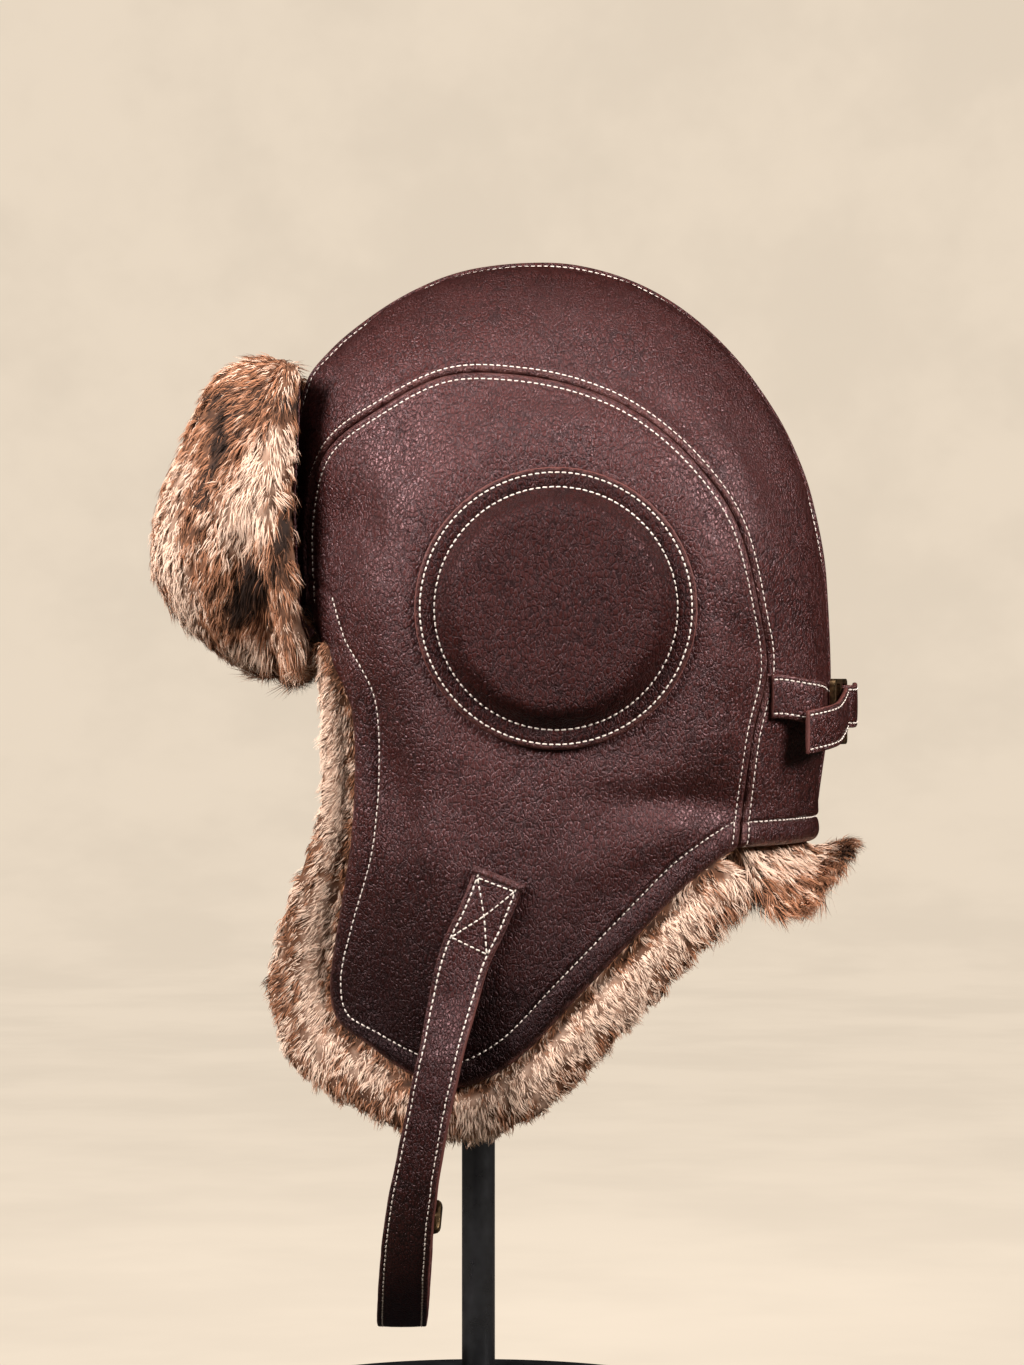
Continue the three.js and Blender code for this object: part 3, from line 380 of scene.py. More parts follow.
def mesh_piece(name, points, faces):
    """A piece from places in millimetres round the ear centre."""
    mesh = bpy.data.meshes.new(name)
    mesh.from_pydata(((points + EAR) / 1000).tolist(), [], faces.tolist() if hasattr(faces, "tolist") else faces)
    return shown(name, mesh)


def vertices_of(mesh):
    """Each vertex's place and normal."""
    co, normal = (np.zeros(len(mesh.vertices) * 3) for _ in range(2))
    mesh.vertices.foreach_get("co", co)
    mesh.vertex_normals.foreach_get("vector", normal)
    return co.reshape(-1, 3), normal.reshape(-1, 3)


def add_chart(mesh, name, uv):
    """A new UV map from a place for each vertex."""
    corner = np.zeros(len(mesh.loops), int)
    mesh.loops.foreach_get("vertex_index", corner)
    mesh.uv_layers.new(name=name).data.foreach_set("uv", np.asarray(uv)[corner].ravel())


def laid_grid(name, grid, hem):
    """A grid primitive laid over a surface. hem holds each place's run along its edge and depth in from it."""
    rows, columns = grid.shape[:2]
    clear_selection()
    bpy.ops.mesh.primitive_grid_add(x_subdivisions=rows - 1, y_subdivisions=columns - 1, size=1)
    piece = named(name)
    mesh = piece.data
    co, _ = vertices_of(mesh)
    i = np.rint((co[:, 0] + 0.5) * (rows - 1)).astype(int)
    j = np.rint((co[:, 1] + 0.5) * (columns - 1)).astype(int)
    mesh.vertices.foreach_set("co", ((grid[i, j] + EAR) / 1000).ravel())
    while mesh.uv_layers:
        mesh.uv_layers.remove(mesh.uv_layers[0])
    add_chart(mesh, "Hem", hem[i, j] / 1000)
    mesh.update()
    edit(piece, (bpy.ops.mesh.remove_doubles, {"threshold": 1e-6}))
    middle = Vector((EAR + [0, 0, 20]) / 1000)
    if sum(f.normal.dot(f.center - middle) * f.area for f in mesh.polygons) < 0:
        edit(piece, (bpy.ops.mesh.flip_normals, {}))
    return piece


def copy_of(node, name):
    """A CAD solid's own shape as a new piece, with its doubles merged."""
    mesh = bpy.data.meshes.new(name)
    work = bmesh.new()
    work.from_mesh(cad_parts[node].data)
    bmesh.ops.remove_doubles(work, verts=work.verts, dist=1e-5)
    bmesh.ops.dissolve_limit(work, angle_limit=0.001, verts=work.verts, edges=work.edges)
    work.to_mesh(mesh)
    work.free()
    return shown(name, mesh)


def joined(name, pieces):
    take(pieces[0])
    for piece in pieces:
        piece.select_set(True)
    bpy.ops.object.join()
    return named(name)


# Stitching

STITCH_RING = [(0.5 * math.cos(a), 0.5 * math.sin(a)) for a in np.arange(6) * math.pi / 3]
STITCH = np.array([(-0.5, 0, -0.55), *[(e, *place) for e in (-0.36, 0.36) for place in STITCH_RING], (0.5, 0, -0.55)])
STITCH_FACES = (
    [(0, 1 + (k + 1) % 6, 1 + k) for k in range(6)]
    + [(1 + k, 1 + (k + 1) % 6, 7 + (k + 1) % 6, 7 + k) for k in range(6)]
    + [(13, 7 + k, 7 + (k + 1) % 6) for k in range(6)]
)


def sewn(name, rows, thread, seed=1):
    """Rows of stitches along lines. A row holds its places and the leather's normals, in millimetres."""
    pitch, size, width = thread.pitch * 1000, thread.stitch * 1000, thread.width * 1000
    luck = np.random.default_rng(seed)
    places, ups, ways = [], [], []
    for line, normal in rows:
        run = run_of(line)
        count = max(1, round(run[-1] / pitch))
        at = (np.arange(count) + 0.5) * run[-1] / count
        ends = [sampled(line, run, at + e * size / 2) for e in (-1, 1)]
        places.append((ends[0] + ends[1]) / 2)
        ways.append(unit(ends[1] - ends[0]))
        ups.append(sampled(normal, run, at))
    place, way, up = np.vstack(places), np.vstack(ways), np.vstack(ups)
    side = unit(np.cross(up, way))
    up = np.cross(way, side)
    swing = luck.normal(0, 0.06, (len(place), 1))
    way, side = unit(way + side * swing), unit(side - way * swing)
    long = size * luck.uniform(0.92, 1.08, (len(place), 1, 1))
    shape = STITCH[None] * np.concatenate([long, np.full_like(long, width), np.full_like(long, width * 0.8)], -1)
    points = place[:, None] + shape[..., :1] * way[:, None] + shape[..., 1:2] * side[:, None]
    points = points + (shape[..., 2:] + 0.18 * width) * up[:, None]
    faces = [[v + 14 * n for v in face] for n in range(len(place)) for face in STITCH_FACES]
    piece = mesh_piece(name, points.reshape(-1, 3), faces)
    chart = np.array([(0.02, 0.5), *[(e, (k + 0.5) / 6) for e in (0.2, 0.8) for k in range(6)], (0.98, 0.5)])
    add_chart(piece.data, "OFBake", np.tile(chart, (len(place), 1)))
    return finish(piece, [thread_material()])


# Materials


def plug(tree, socket, value):
    """Links a value to an input, or sets it."""
    if isinstance(value, bpy.types.NodeSocket):
        tree.links.new(value, socket)
    else:
        socket.default_value = (*value, 1) if socket.type == "RGBA" else value


def wire(tree, kind, inputs=None, **settings):
    """Adds a node, sets it and links what is given as sockets. Returns its first shown output."""
    made = tree.nodes.new(kind)
    for key, value in settings.items():
        setattr(made, key, value)
    for key, value in (inputs or {}).items():
        plug(tree, made.inputs[key], value)
    return next(o for o in made.outputs if o.enabled)


def maths(tree, operation, a, b=0.0, clamp=False):
    return wire(tree, "ShaderNodeMath", {0: a, 1: b}, operation=operation, use_clamp=clamp)


def ranged(tree, value, low, high, to_low=0.0, to_high=1.0):
    inputs = {0: value, 1: low, 2: high, 3: to_low, 4: to_high}
    return wire(tree, "ShaderNodeMapRange", inputs, interpolation_type="SMOOTHSTEP")


def speckle(tree, place, scale, detail, rough=0.5):
    return wire(tree, "ShaderNodeTexNoise", {"Vector": place, "Scale": scale, "Detail": detail, "Roughness": rough})


def cells(tree, place, scale, border):
    """Cells of leather grain, with soft creases of a given width between them."""
    edge = wire(tree, "ShaderNodeTexVoronoi", {"Vector": place, "Scale": scale}, feature="DISTANCE_TO_EDGE")
    return ranged(tree, edge, 0.0, border)


def bumped(tree, strength, distance, height):
    return wire(tree, "ShaderNodeBump", {"Strength": strength, "Distance": distance, "Height": height})


def tint(colour, share):
    return [c * share for c in colour]


def blended(tree, factor, a, b, blend="MIX"):
    mixer = tree.nodes.new("ShaderNodeMix")
    mixer.data_type, mixer.blend_type = "RGBA", blend
    for key, value in ((0, factor), (6, a), (7, b)):
        plug(tree, mixer.inputs[key], value)
    return mixer.outputs[2]


def effect(name, inputs, outputs, build):
    """A node group that several materials use. build wires it from its inputs to its outputs."""
    tree = bpy.data.node_groups.get(name)
    if tree:
        return tree
    tree = bpy.data.node_groups.new(name, "ShaderNodeTree")
    for kind, entries in (("INPUT", inputs), ("OUTPUT", outputs)):
        for title, socket in entries:
            tree.interface.new_socket(name=title, in_out=kind, socket_type="NodeSocket" + socket)
    source, sink = tree.nodes.new("NodeGroupInput"), tree.nodes.new("NodeGroupOutput")
    for title, socket in build(tree, source.outputs).items():
        tree.links.new(socket, sink.inputs[title])
    return tree


def use(tree, group, inputs):
    made = tree.nodes.new("ShaderNodeGroup")
    made.node_tree = group
    for key, value in inputs.items():
        plug(tree, made.inputs[key], value)
    return made.outputs


def grain_group():
    """Pebbled grain, longer than it is wide, with creases between the pebbles and loose wrinkles over them."""

    def build(tree, given):
        place = given["Place"]
        drift = speckle(tree, place, 330, 3, 0.6).node.outputs["Color"]
        drift = wire(tree, "ShaderNodeVectorMath", {0: drift, 1: (0.0016, 0.0016, 0.0016)}, operation="MULTIPLY")
        moved = wire(tree, "ShaderNodeVectorMath", {0: place, 1: drift}, operation="ADD")
        tall = wire(tree, "ShaderNodeMapping", {"Vector": moved, "Scale": (1, 1.15, 0.62), "Rotation": (0.25, 0, 0)})
        pebble = cells(tree, tall, given["Pebbles"], 0.2)
        small = cells(tree, moved, maths(tree, "MULTIPLY", given["Pebbles"], 1.9), 0.16)
        wide = wire(tree, "ShaderNodeMapping", {"Vector": moved, "Scale": (1, 1.3, 0.7), "Rotation": (-0.5, 0, 0)})
        where = ranged(tree, speckle(tree, place, 26, 2), 0.4, 0.6)
        wrinkle = maths(tree, "ADD", cells(tree, wide, 190, 0.08), where, clamp=True)
        height = maths(tree, "MULTIPLY", pebble, 0.6)
        for layer, share in ((small, 0.22), (wrinkle, 0.45), (speckle(tree, place, 150, 3, 0.6), 1.1)):
            height = maths(tree, "ADD", height, maths(tree, "MULTIPLY", layer, share))
        pebble = maths(tree, "MULTIPLY", pebble, maths(tree, "ADD", small, 0.5), clamp=True)
        return {"Height": height, "Pebble": pebble, "Crease": wrinkle}

    outputs = [(title, "Float") for title in ("Height", "Pebble", "Crease")]
    return effect("leather grain", [("Place", "Vector"), ("Pebbles", "Float")], outputs, build)


def tone_group():
    """Uneven dye in two scales."""

    def build(tree, given):
        broad, small = speckle(tree, given["Place"], 14, 3, 0.55), speckle(tree, given["Place"], 120, 4, 0.65)
        both = maths(tree, "ADD", maths(tree, "MULTIPLY", broad, 0.6), maths(tree, "MULTIPLY", small, 0.4))
        return {"Tone": ranged(tree, both, 0.36, 0.66), "Small": small}

    return effect("uneven dye", [("Place", "Vector")], [("Tone", "Float"), ("Small", "Float")], build)


def wear_and_highlight_group():
    """Rubbed leather on the crest of a hem or a folded edge, from the depth in from the edge. On a strap's turned-under
    end it is partly a painted highlight on the fold.
    """

    def build(tree, given):
        depth = wire(tree, "ShaderNodeSeparateXYZ", {0: given["Hem"]}).node.outputs[1]
        crest = maths(tree, "SUBTRACT", 1.0, ranged(tree, depth, 0.0006, 0.0026))
        broken = ranged(tree, speckle(tree, given["Place"], 260, 5, 0.7), 0.35, 0.7)
        return {"Wear and highlight": maths(tree, "MULTIPLY", crest, broken, clamp=True)}

    return effect("rubbed edge and highlight", [("Hem", "Vector"), ("Place", "Vector")], [("Wear and highlight", "Float")], build)


def object_place(tree):
    return tree.nodes.new("ShaderNodeTexCoord").outputs["Object"]


def dyed(tree, place):
    return use(tree, tone_group(), {"Place": place})


def material_of(name, build):
    """A material by its name, built once. build wires it and returns its shader's inputs."""
    material = bpy.data.materials.get(name)
    if material is None:
        material = bpy.data.materials.new(name)
        material.use_nodes = True
        tree = material.node_tree
        for key, value in build(tree).items():
            plug(tree, tree.nodes["Principled BSDF"].inputs[key], value)
    return material


def leather_material(name="brown leather", dark=1.0, low=0.15, shine=0.52):
    """Pebbled brown leather, worn along its edges, with darker creases in its grain, partly painted shade. low is its
    colour's share at the foot of the flaps: painted shade, which dulls its sheen there as well.
    """

    def build(tree):
        place = object_place(tree)
        leather = bpy.context.scene.helmet_leather
        hem = wire(tree, "ShaderNodeUVMap", uv_map="Hem")
        grain = use(tree, grain_group(), {"Place": place, "Pebbles": 1 / leather.grain})
        tone = dyed(tree, place)
        # Wear along hems and edges, and partly a painted highlight on the strap's turned end.
        wear_and_highlight = use(tree, wear_and_highlight_group(), {"Hem": hem, "Place": place})["Wear and highlight"]
        brown = tint(leather.brown, dark)
        base = blended(tree, tone["Tone"], tint(brown, 0.85), tint(brown, 1.15))
        # The grain's creases are darker: partly the leather's own colour, partly painted shade in them.
        base = blended(tree, maths(tree, "MULTIPLY", grain["Pebble"], grain["Crease"]), tint(brown, 0.12), base)
        # Painted shade: the colour darkens by height towards the foot of the flaps, down to low of itself.
        height = wire(tree, "ShaderNodeSeparateXYZ", {0: place}).node.outputs[2]
        base = blended(tree, ranged(tree, height, 0.26, 0.15), base, (low, low * 0.9, low * 0.9), "MULTIPLY")
        rough = ranged(tree, tone["Small"], 0.3, 0.7, 0.3, 0.4)
        return {
            "Base Color": blended(tree, wear_and_highlight, base, leather.worn_and_highlight),
            "Roughness": maths(tree, "SUBTRACT", rough, maths(tree, "MULTIPLY", wear_and_highlight, 0.06)),
            "Normal": bumped(tree, 1.0, 0.00034, grain["Height"]),
            # Painted shade on the sheen too: it is dulled towards the foot of the flaps.
            "Specular IOR Level": ranged(tree, height, 0.26, 0.15, shine, shine * mix(1, low, 0.8)),
            "Specular Tint": (1.0, 0.62, 0.64),
        }

    return material_of(name, build)


def raw_edge_material():
    """Cut edge of the leather, reddish."""

    def build(tree):
        place = object_place(tree)
        small = dyed(tree, place)["Small"]
        raw = bpy.context.scene.helmet_leather.raw
        base = blended(tree, small, tint(raw, 0.5), tint(raw, 1.3))
        return {"Base Color": base, "Roughness": 0.7, "Normal": bumped(tree, 0.6, 0.0002, small)}

    return material_of("cut edge", build)


def lining_material():
    """Plain brown lining cloth on the inside of the shell."""

    def build(tree):
        place = object_place(tree)
        tone = dyed(tree, place)["Tone"]
        thread = {"Vector": place, "Scale": 320, "Distortion": 0.6}
        warp, weft = (wire(tree, "ShaderNodeTexWave", thread, bands_direction=way) for way in "ZY")
        base = blended(tree, tone, (0.035, 0.016, 0.011), (0.07, 0.034, 0.024))
        bump = bumped(tree, 0.5, 0.0002, maths(tree, "MULTIPLY", warp, weft))
        return {"Base Color": base, "Roughness": 0.6, "Normal": bump, "Sheen Weight": 0.3}

    return material_of("lining cloth", build)


def thread_material():
    """Twisted off-white thread."""

    def build(tree):
        chart = wire(tree, "ShaderNodeUVMap", uv_map="OFBake")
        turn = wire(tree, "ShaderNodeMapping", {"Vector": chart, "Rotation": (0, 0, 0.6)})
        ply = wire(tree, "ShaderNodeTexWave", {"Vector": turn, "Scale": 2.2}, bands_direction="X")
        shade = bpy.context.scene.helmet_thread.shade
        base = blended(tree, ply, tint(shade, 0.62), shade)
        return {"Base Color": base, "Roughness": 0.75, "Normal": bumped(tree, 0.5, 0.0001, ply)}

    return material_of("thread", build)


def fur_material():
    """Hair that is dark at its root, light along its length and tan at its tip. u is the hair's shade, v its length."""

    def build(tree):
        fur = bpy.context.scene.helmet_fur
        chart = wire(tree, "ShaderNodeSeparateXYZ", {0: wire(tree, "ShaderNodeUVMap", uv_map="OFBake")})
        shade, far = chart.node.outputs[0], chart.node.outputs[1]
        body = blended(tree, ranged(tree, shade, 0.05, 0.32), fur.dark, fur.tan)
        body = blended(tree, ranged(tree, shade, 0.36, 0.62), body, fur.cream)
        tip = blended(tree, ranged(tree, shade, 0.05, 0.4), tint(fur.tan, 0.3), fur.tan)
        tip = blended(tree, ranged(tree, shade, 0.55, 0.8), tip, fur.cream)
        root = [(a + b) / 2 for a, b in zip(fur.dark, fur.tan)]
        root = blended(tree, ranged(tree, shade, 0.3, 0.8), fur.dark, root)
        base = blended(tree, ranged(tree, far, 0.1, 0.4), root, body)
        base = blended(tree, ranged(tree, far, 0.62, 0.95), base, tip)
        return {"Base Color": base, "Roughness": 0.75, "Specular IOR Level": 0.15}

    return material_of("fur hair", build)


def metal_material():
    """Aged bronze, bright where it is handled."""

    def build(tree):
        place = object_place(tree)
        small = dyed(tree, place)["Small"]
        spots = speckle(tree, place, 900, 4)
        bronze = bpy.context.scene.helmet_stand.bronze
        base = blended(tree, ranged(tree, small, 0.35, 0.65), tint(bronze, 0.35), tint(bronze, 1.6))
        rough = ranged(tree, spots, 0.3, 0.7, 0.28, 0.5)
        return {"Base Color": base, "Metallic": 1.0, "Roughness": rough, "Normal": bumped(tree, 0.4, 0.00008, spots)}

    return material_of("aged bronze", build)


def paint_material():
    """Black paint with a fine orange-peel surface."""

    def build(tree):
        place = object_place(tree)
        tone = dyed(tree, place)
        black = bpy.context.scene.helmet_stand.black
        base = blended(tree, tone["Tone"], tint(black, 0.7), tint(black, 1.4))
        rough = ranged(tree, tone["Small"], 0.3, 0.7, 0.26, 0.4)
        peel = bumped(tree, 0.25, 0.0001, speckle(tree, place, 700, 2))
        return {"Base Color": base, "Roughness": rough, "Normal": peel}

    return material_of("black paint", build)


def paper_material(stage):
    """Pale paper that glows for the camera alone, so that it throws little light on the leather."""

    def build(tree):
        place = object_place(tree)
        cloud = speckle(tree, place, 4, 4, 0.6)
        light = [min(1, c) for c in tint(stage.paper, 1.03)]
        glow = blended(tree, ranged(tree, cloud, 0.35, 0.65), tint(stage.paper, 0.96), light)
        seen = tree.nodes.new("ShaderNodeLightPath").outputs["Is Camera Ray"]
        return {
            "Base Color": blended(tree, seen, tint(stage.paper, 0.2), tint(stage.paper, 0.12)),
            "Roughness": 0.9,
            "Specular IOR Level": 0.1,
            "Emission Color": glow,
            "Emission Strength": maths(tree, "MULTIPLY", seen, stage.glow),
        }

    return material_of("paper", build)


def mirrored(points, side):
    return points * np.array([side, 1, 1])


# Shell


def crown_grid(puff, slack):
    """The crown's half from the centre seam to the side seam, with each place's normal and edge depths."""
    from_nape = np.concatenate([NEAR_HEM, np.linspace(NEAR_HEM[-1], CENTRE, 190)[1:]])
    u = (1 - from_nape / CENTRE)[:, None]
    top, side = along(centre_line, u[:, 0])[:, None], along(seam_line, across_from(u[:, 0]))[:, None]
    t = np.linspace(0, 1, 240) ** 0.7
    dense = on_face(mix(top, side, t[None, :, None] ** 2.2))
    dense[:, 0, 0] = 0
    rows, depth, centre = [], [], []
    for row in dense:
        run = run_of(row)
        inner = np.linspace(NEAR_EDGE[-1], run[-1] - NEAR_EDGE[-1], 42)[1:-1]
        at = np.concatenate([NEAR_EDGE, inner, run[-1] - NEAR_EDGE[::-1]])
        rows.append(sampled(row, run, at))
        depth.append(np.minimum(at, run[-1] - at))
        centre.append(at)
    grid, depth, from_centre = np.array(rows), np.array(depth), np.array(centre)
    normal = normals_of(grid)
    normal[:, 0, 0] = 0
    normal = unit(normal)
    to_hem = np.broadcast_to(from_nape[:, None], depth.shape)
    calm = smooth(depth / 9) * smooth((to_hem - 2) / 12)
    gathers = 1 + 0.5 * waves(grid * [1, 1, 0.2], 6)
    gable = 1.2 - 0.62 * np.minimum(from_centre, CREST)
    beside = -1.65 * (1 - smooth((from_centre - CREST) / 30))
    crest = np.where(from_centre < CREST, gable, beside) * smooth(to_hem / 30)
    turned_hem = hem_relief(to_hem, puff) * np.where(to_hem < 14, mix(1, gathers, smooth(to_hem / 3)), 1)
    rise = seam_relief(depth) + crest + turned_hem
    rise += calm * slack * (waves(grid, 34, 1) + 0.5 * waves(grid * [1, 1, 0.6], 13, 2) + 0.16 * waves(grid, 5, 5))
    return grid + normal * rise[..., None], normal, depth, to_hem


def seam_stations():
    return np.concatenate([HEM_START * np.arange(25) / 24, [(1 + HEM_START) / 2, 1]])


def side_loops():
    """The side panel's edge and its line in from the edge by the hem's width, as loops with the same stations."""
    q = np.arange(50 * FINE) / FINE
    on_seam = q <= 26
    u = np.interp(q[on_seam], np.arange(27), seam_stations())
    edge = np.vstack([along(seam_line, across_from(u)), along(edge_line, 1 - (q[~on_seam] - 26) / 24)])
    loop = edge[::FINE]
    before, after = unit(loop - np.roll(loop, 1, 0)), unit(np.roll(loop, -1, 0) - loop)
    inward = unit(np.column_stack([before[:, 1] + after[:, 1], -before[:, 0] - after[:, 0]]))
    corner = np.maximum(0.62, inward[:, 0] * after[:, 1] - inward[:, 1] * after[:, 0])
    inset = loop + inward * (HEM / corner)[:, None]
    inset[21:27] = mix(inset[21], inset[26], np.linspace(0, 1, 6)[:, None])
    parts = (inset[:27], np.vstack([inset[26:], inset[:1]]))
    return q, edge, np.vstack([spline(part, FINE)[:-1] for part in parts])


def off_line(yz, line):
    """How far places lie from a line, seen from the side."""
    a, b = line[:-1], line[1:] - line[:-1]
    near = []
    for row in yz.reshape(-1, 2):
        t = np.clip(((row - a) * b).sum(1) / (b * b).sum(1), 0, 1)
        near.append(np.sqrt((((a + b * t[:, None]) - row) ** 2).sum(1).min()))
    return np.array(near).reshape(yz.shape[:-1])


def drawn_in(yz):
    """How much nearer to the edge the hem's stitching runs, most at the flap's front corner."""
    return 1 + 1.1 * np.exp(-(((yz[..., 0] + 86) / 26) ** 2) - ((yz[..., 1] + 148) / 34) ** 2)


def side_rise(yz, puff, slack):
    """Height of the leather's relief over the side panel's plain face."""
    to_seam, to_hem = off_line(yz, seam_line[::6]), off_line(yz, edge_line[::6])
    near = drawn_in(yz)
    to_hem = to_hem * near
    place = on_face(yz)
    inner = smooth((to_seam - 2) / 4)
    gathers = mix(1, 1 + 0.3 * waves(place * [1, 1.1, 1.1], 5.5, 1), inner)
    hem = hem_relief(to_hem, puff * inner, 0.75 * (2.1 - near) / 1.1)
    rise = seam_relief(to_seam) + hem * np.where(to_hem < 14, gathers, 1)
    calm = smooth((np.hypot(yz[..., 0], yz[..., 1]) - DISC) / 14) * smooth((np.minimum(to_seam, to_hem) - 3) / 10)
    loose = waves(place, 30, 3) + 0.5 * waves(place * [1, 1, 0.6], 12, 4) + 0.18 * waves(place, 5, 6)
    return rise + calm * slack * loose


def side_row(line, inset, puff, slack):
    """A row of stitches in the leather at a distance in from one of the side panel's edges."""
    way = unit(np.gradient(line, axis=0))
    yz = line + np.reshape(inset, (-1, 1)) * np.stack([way[:, 1], -way[:, 0]], -1)
    place = on_face(yz)
    normal = face_normal(place)
    rise = side_rise(yz, puff, slack) + 0.5 * (drawn_in(yz) - 1)
    return yz, place + normal * rise[:, None], normal


def side_grid(puff, slack):
    """The side panel as rings from its edge to the ear centre."""
    q, edge, hem = side_loops()
    disc = unit(edge)
    rings, depth = [], []
    for d in NEAR_HEM[NEAR_HEM <= HEM]:
        rings.append(mix(edge, hem, d / HEM))
        depth.append(np.full(len(q), float(d)))
    reach = np.linalg.norm(disc * (DISC + 1) - hem, axis=1)
    for t in np.linspace(0, 1, 40)[1:] ** 1.25:
        rings.append(mix(hem, disc * (DISC + 1), t))
        depth.append(HEM + t * reach)
    for radius in (46, 30, 12, 0):
        rings.append(disc * radius)
        depth.append(HEM + reach + DISC - radius)
    flat, depth = np.array(rings), np.array(depth)
    grid = on_face(flat)
    normal = normals_of(grid, closed=True)
    normal[-1] = (1, 0, 0)
    rise = side_rise(flat, puff, slack)
    return grid + normal * rise[..., None], depth, run_of(edge)


class HELMET_OT_shell(bpy.types.Operator):
    """Models the crown and side panels, with their seams, hems and stitching"""

    bl_idname = "helmet.shell"
    bl_label = "Leather Shell"

    def execute(self, context):
        leather, thread = context.scene.helmet_leather, context.scene.helmet_thread
        puff, slack = leather.puff * 1000, leather.slack * 1000
        crown, crown_normal, crown_depth, to_nape = crown_grid(puff, slack)
        side, side_depth, run = side_grid(puff, slack)
        closed = [np.concatenate([a, a[:, :1]], 1) for a in (side, side_depth[..., None])]
        round_run = np.append(run, run[-1] + 1)
        materials = [leather_material(), lining_material()]
        wall = {"thickness": leather.thickness, "offset": -1, "use_even_offset": False, "material_offset": 1}
        nape_end = edge_line[-1] + np.arange(4, 0, -1)[:, None] * unit(edge_line[-1] - edge_line[-2])
        hem_line = np.vstack([nape_end, edge_line[::-2]])
        for word, sign in SIDES:
            hem = np.stack([to_nape, np.minimum(crown_depth, to_nape)], -1)
            side_hem = np.stack([np.broadcast_to(round_run, closed[0].shape[:2]), closed[1][..., 0]], -1)
            for part, grid, chart in (("crown", crown, hem), ("side", closed[0], side_hem)):
                piece = laid_grid(f"{part}_leather_{word}", mirrored(grid, sign), chart)
                apply_modifier(piece, "SOLIDIFY", **wall)
                finish(piece, materials, [f"{part}_panel_{word}"])
            column = int(np.argmin(np.abs(NEAR_EDGE - STITCH_IN)))
            nape_row = int(np.argmin(np.abs(NEAR_HEM - HEM)))
            seam_yz, *seam = side_row(seam_line[::2], STITCH_IN, puff, slack)
            hem_yz, *hems = side_row(hem_line, HEM / drawn_in(hem_line), puff, slack)
            seam = [a[off_line(seam_yz, edge_line) > 1] for a in seam]
            hems = [a[off_line(hem_yz, seam_line) > 1.2] for a in hems]
            rows = [
                (crown[:, column], crown_normal[:, column]),
                (crown[:, -1 - column], crown_normal[:, -1 - column]),
                (crown[nape_row, column:-column], crown_normal[nape_row, column:-column]),
                tuple(seam),
                tuple(hems),
            ]
            sewn(f"shell_stitching_{word}", [(mirrored(a, sign), mirrored(b, sign)) for a, b in rows], thread)
        return {"FINISHED"}


# Ear discs

DISC_PROFILE = (
    (54.5, 0), (54.5, 1), (54.1, 1.6), (53.4, 1.9), (52.9, 1.8), (52.4, 1.5), (51.9, 1.75), (50.6, 2.05),
    (49.2, 2.05), (47.9, 1.85), (47.3, 1.7), (46.8, 1.4), (46.3, 1.7), (45.6, 2.4), (44.7, 3.5), (43.6, 4.9),
    (42.4, 6.3), (41.1, 7.5), (39.8, 8.4), (38.4, 9), (36.8, 9.35), (34.6, 9.5), (31, 9.6), (26, 9.7), (20, 9.8),
    (14, 9.9), (8, 9.95), (3.5, 9.95),
)  # radius and height over the side panel


DISC_FOOT = EAR_PLANE + 0.4  # the disc's foot, from the middle plane


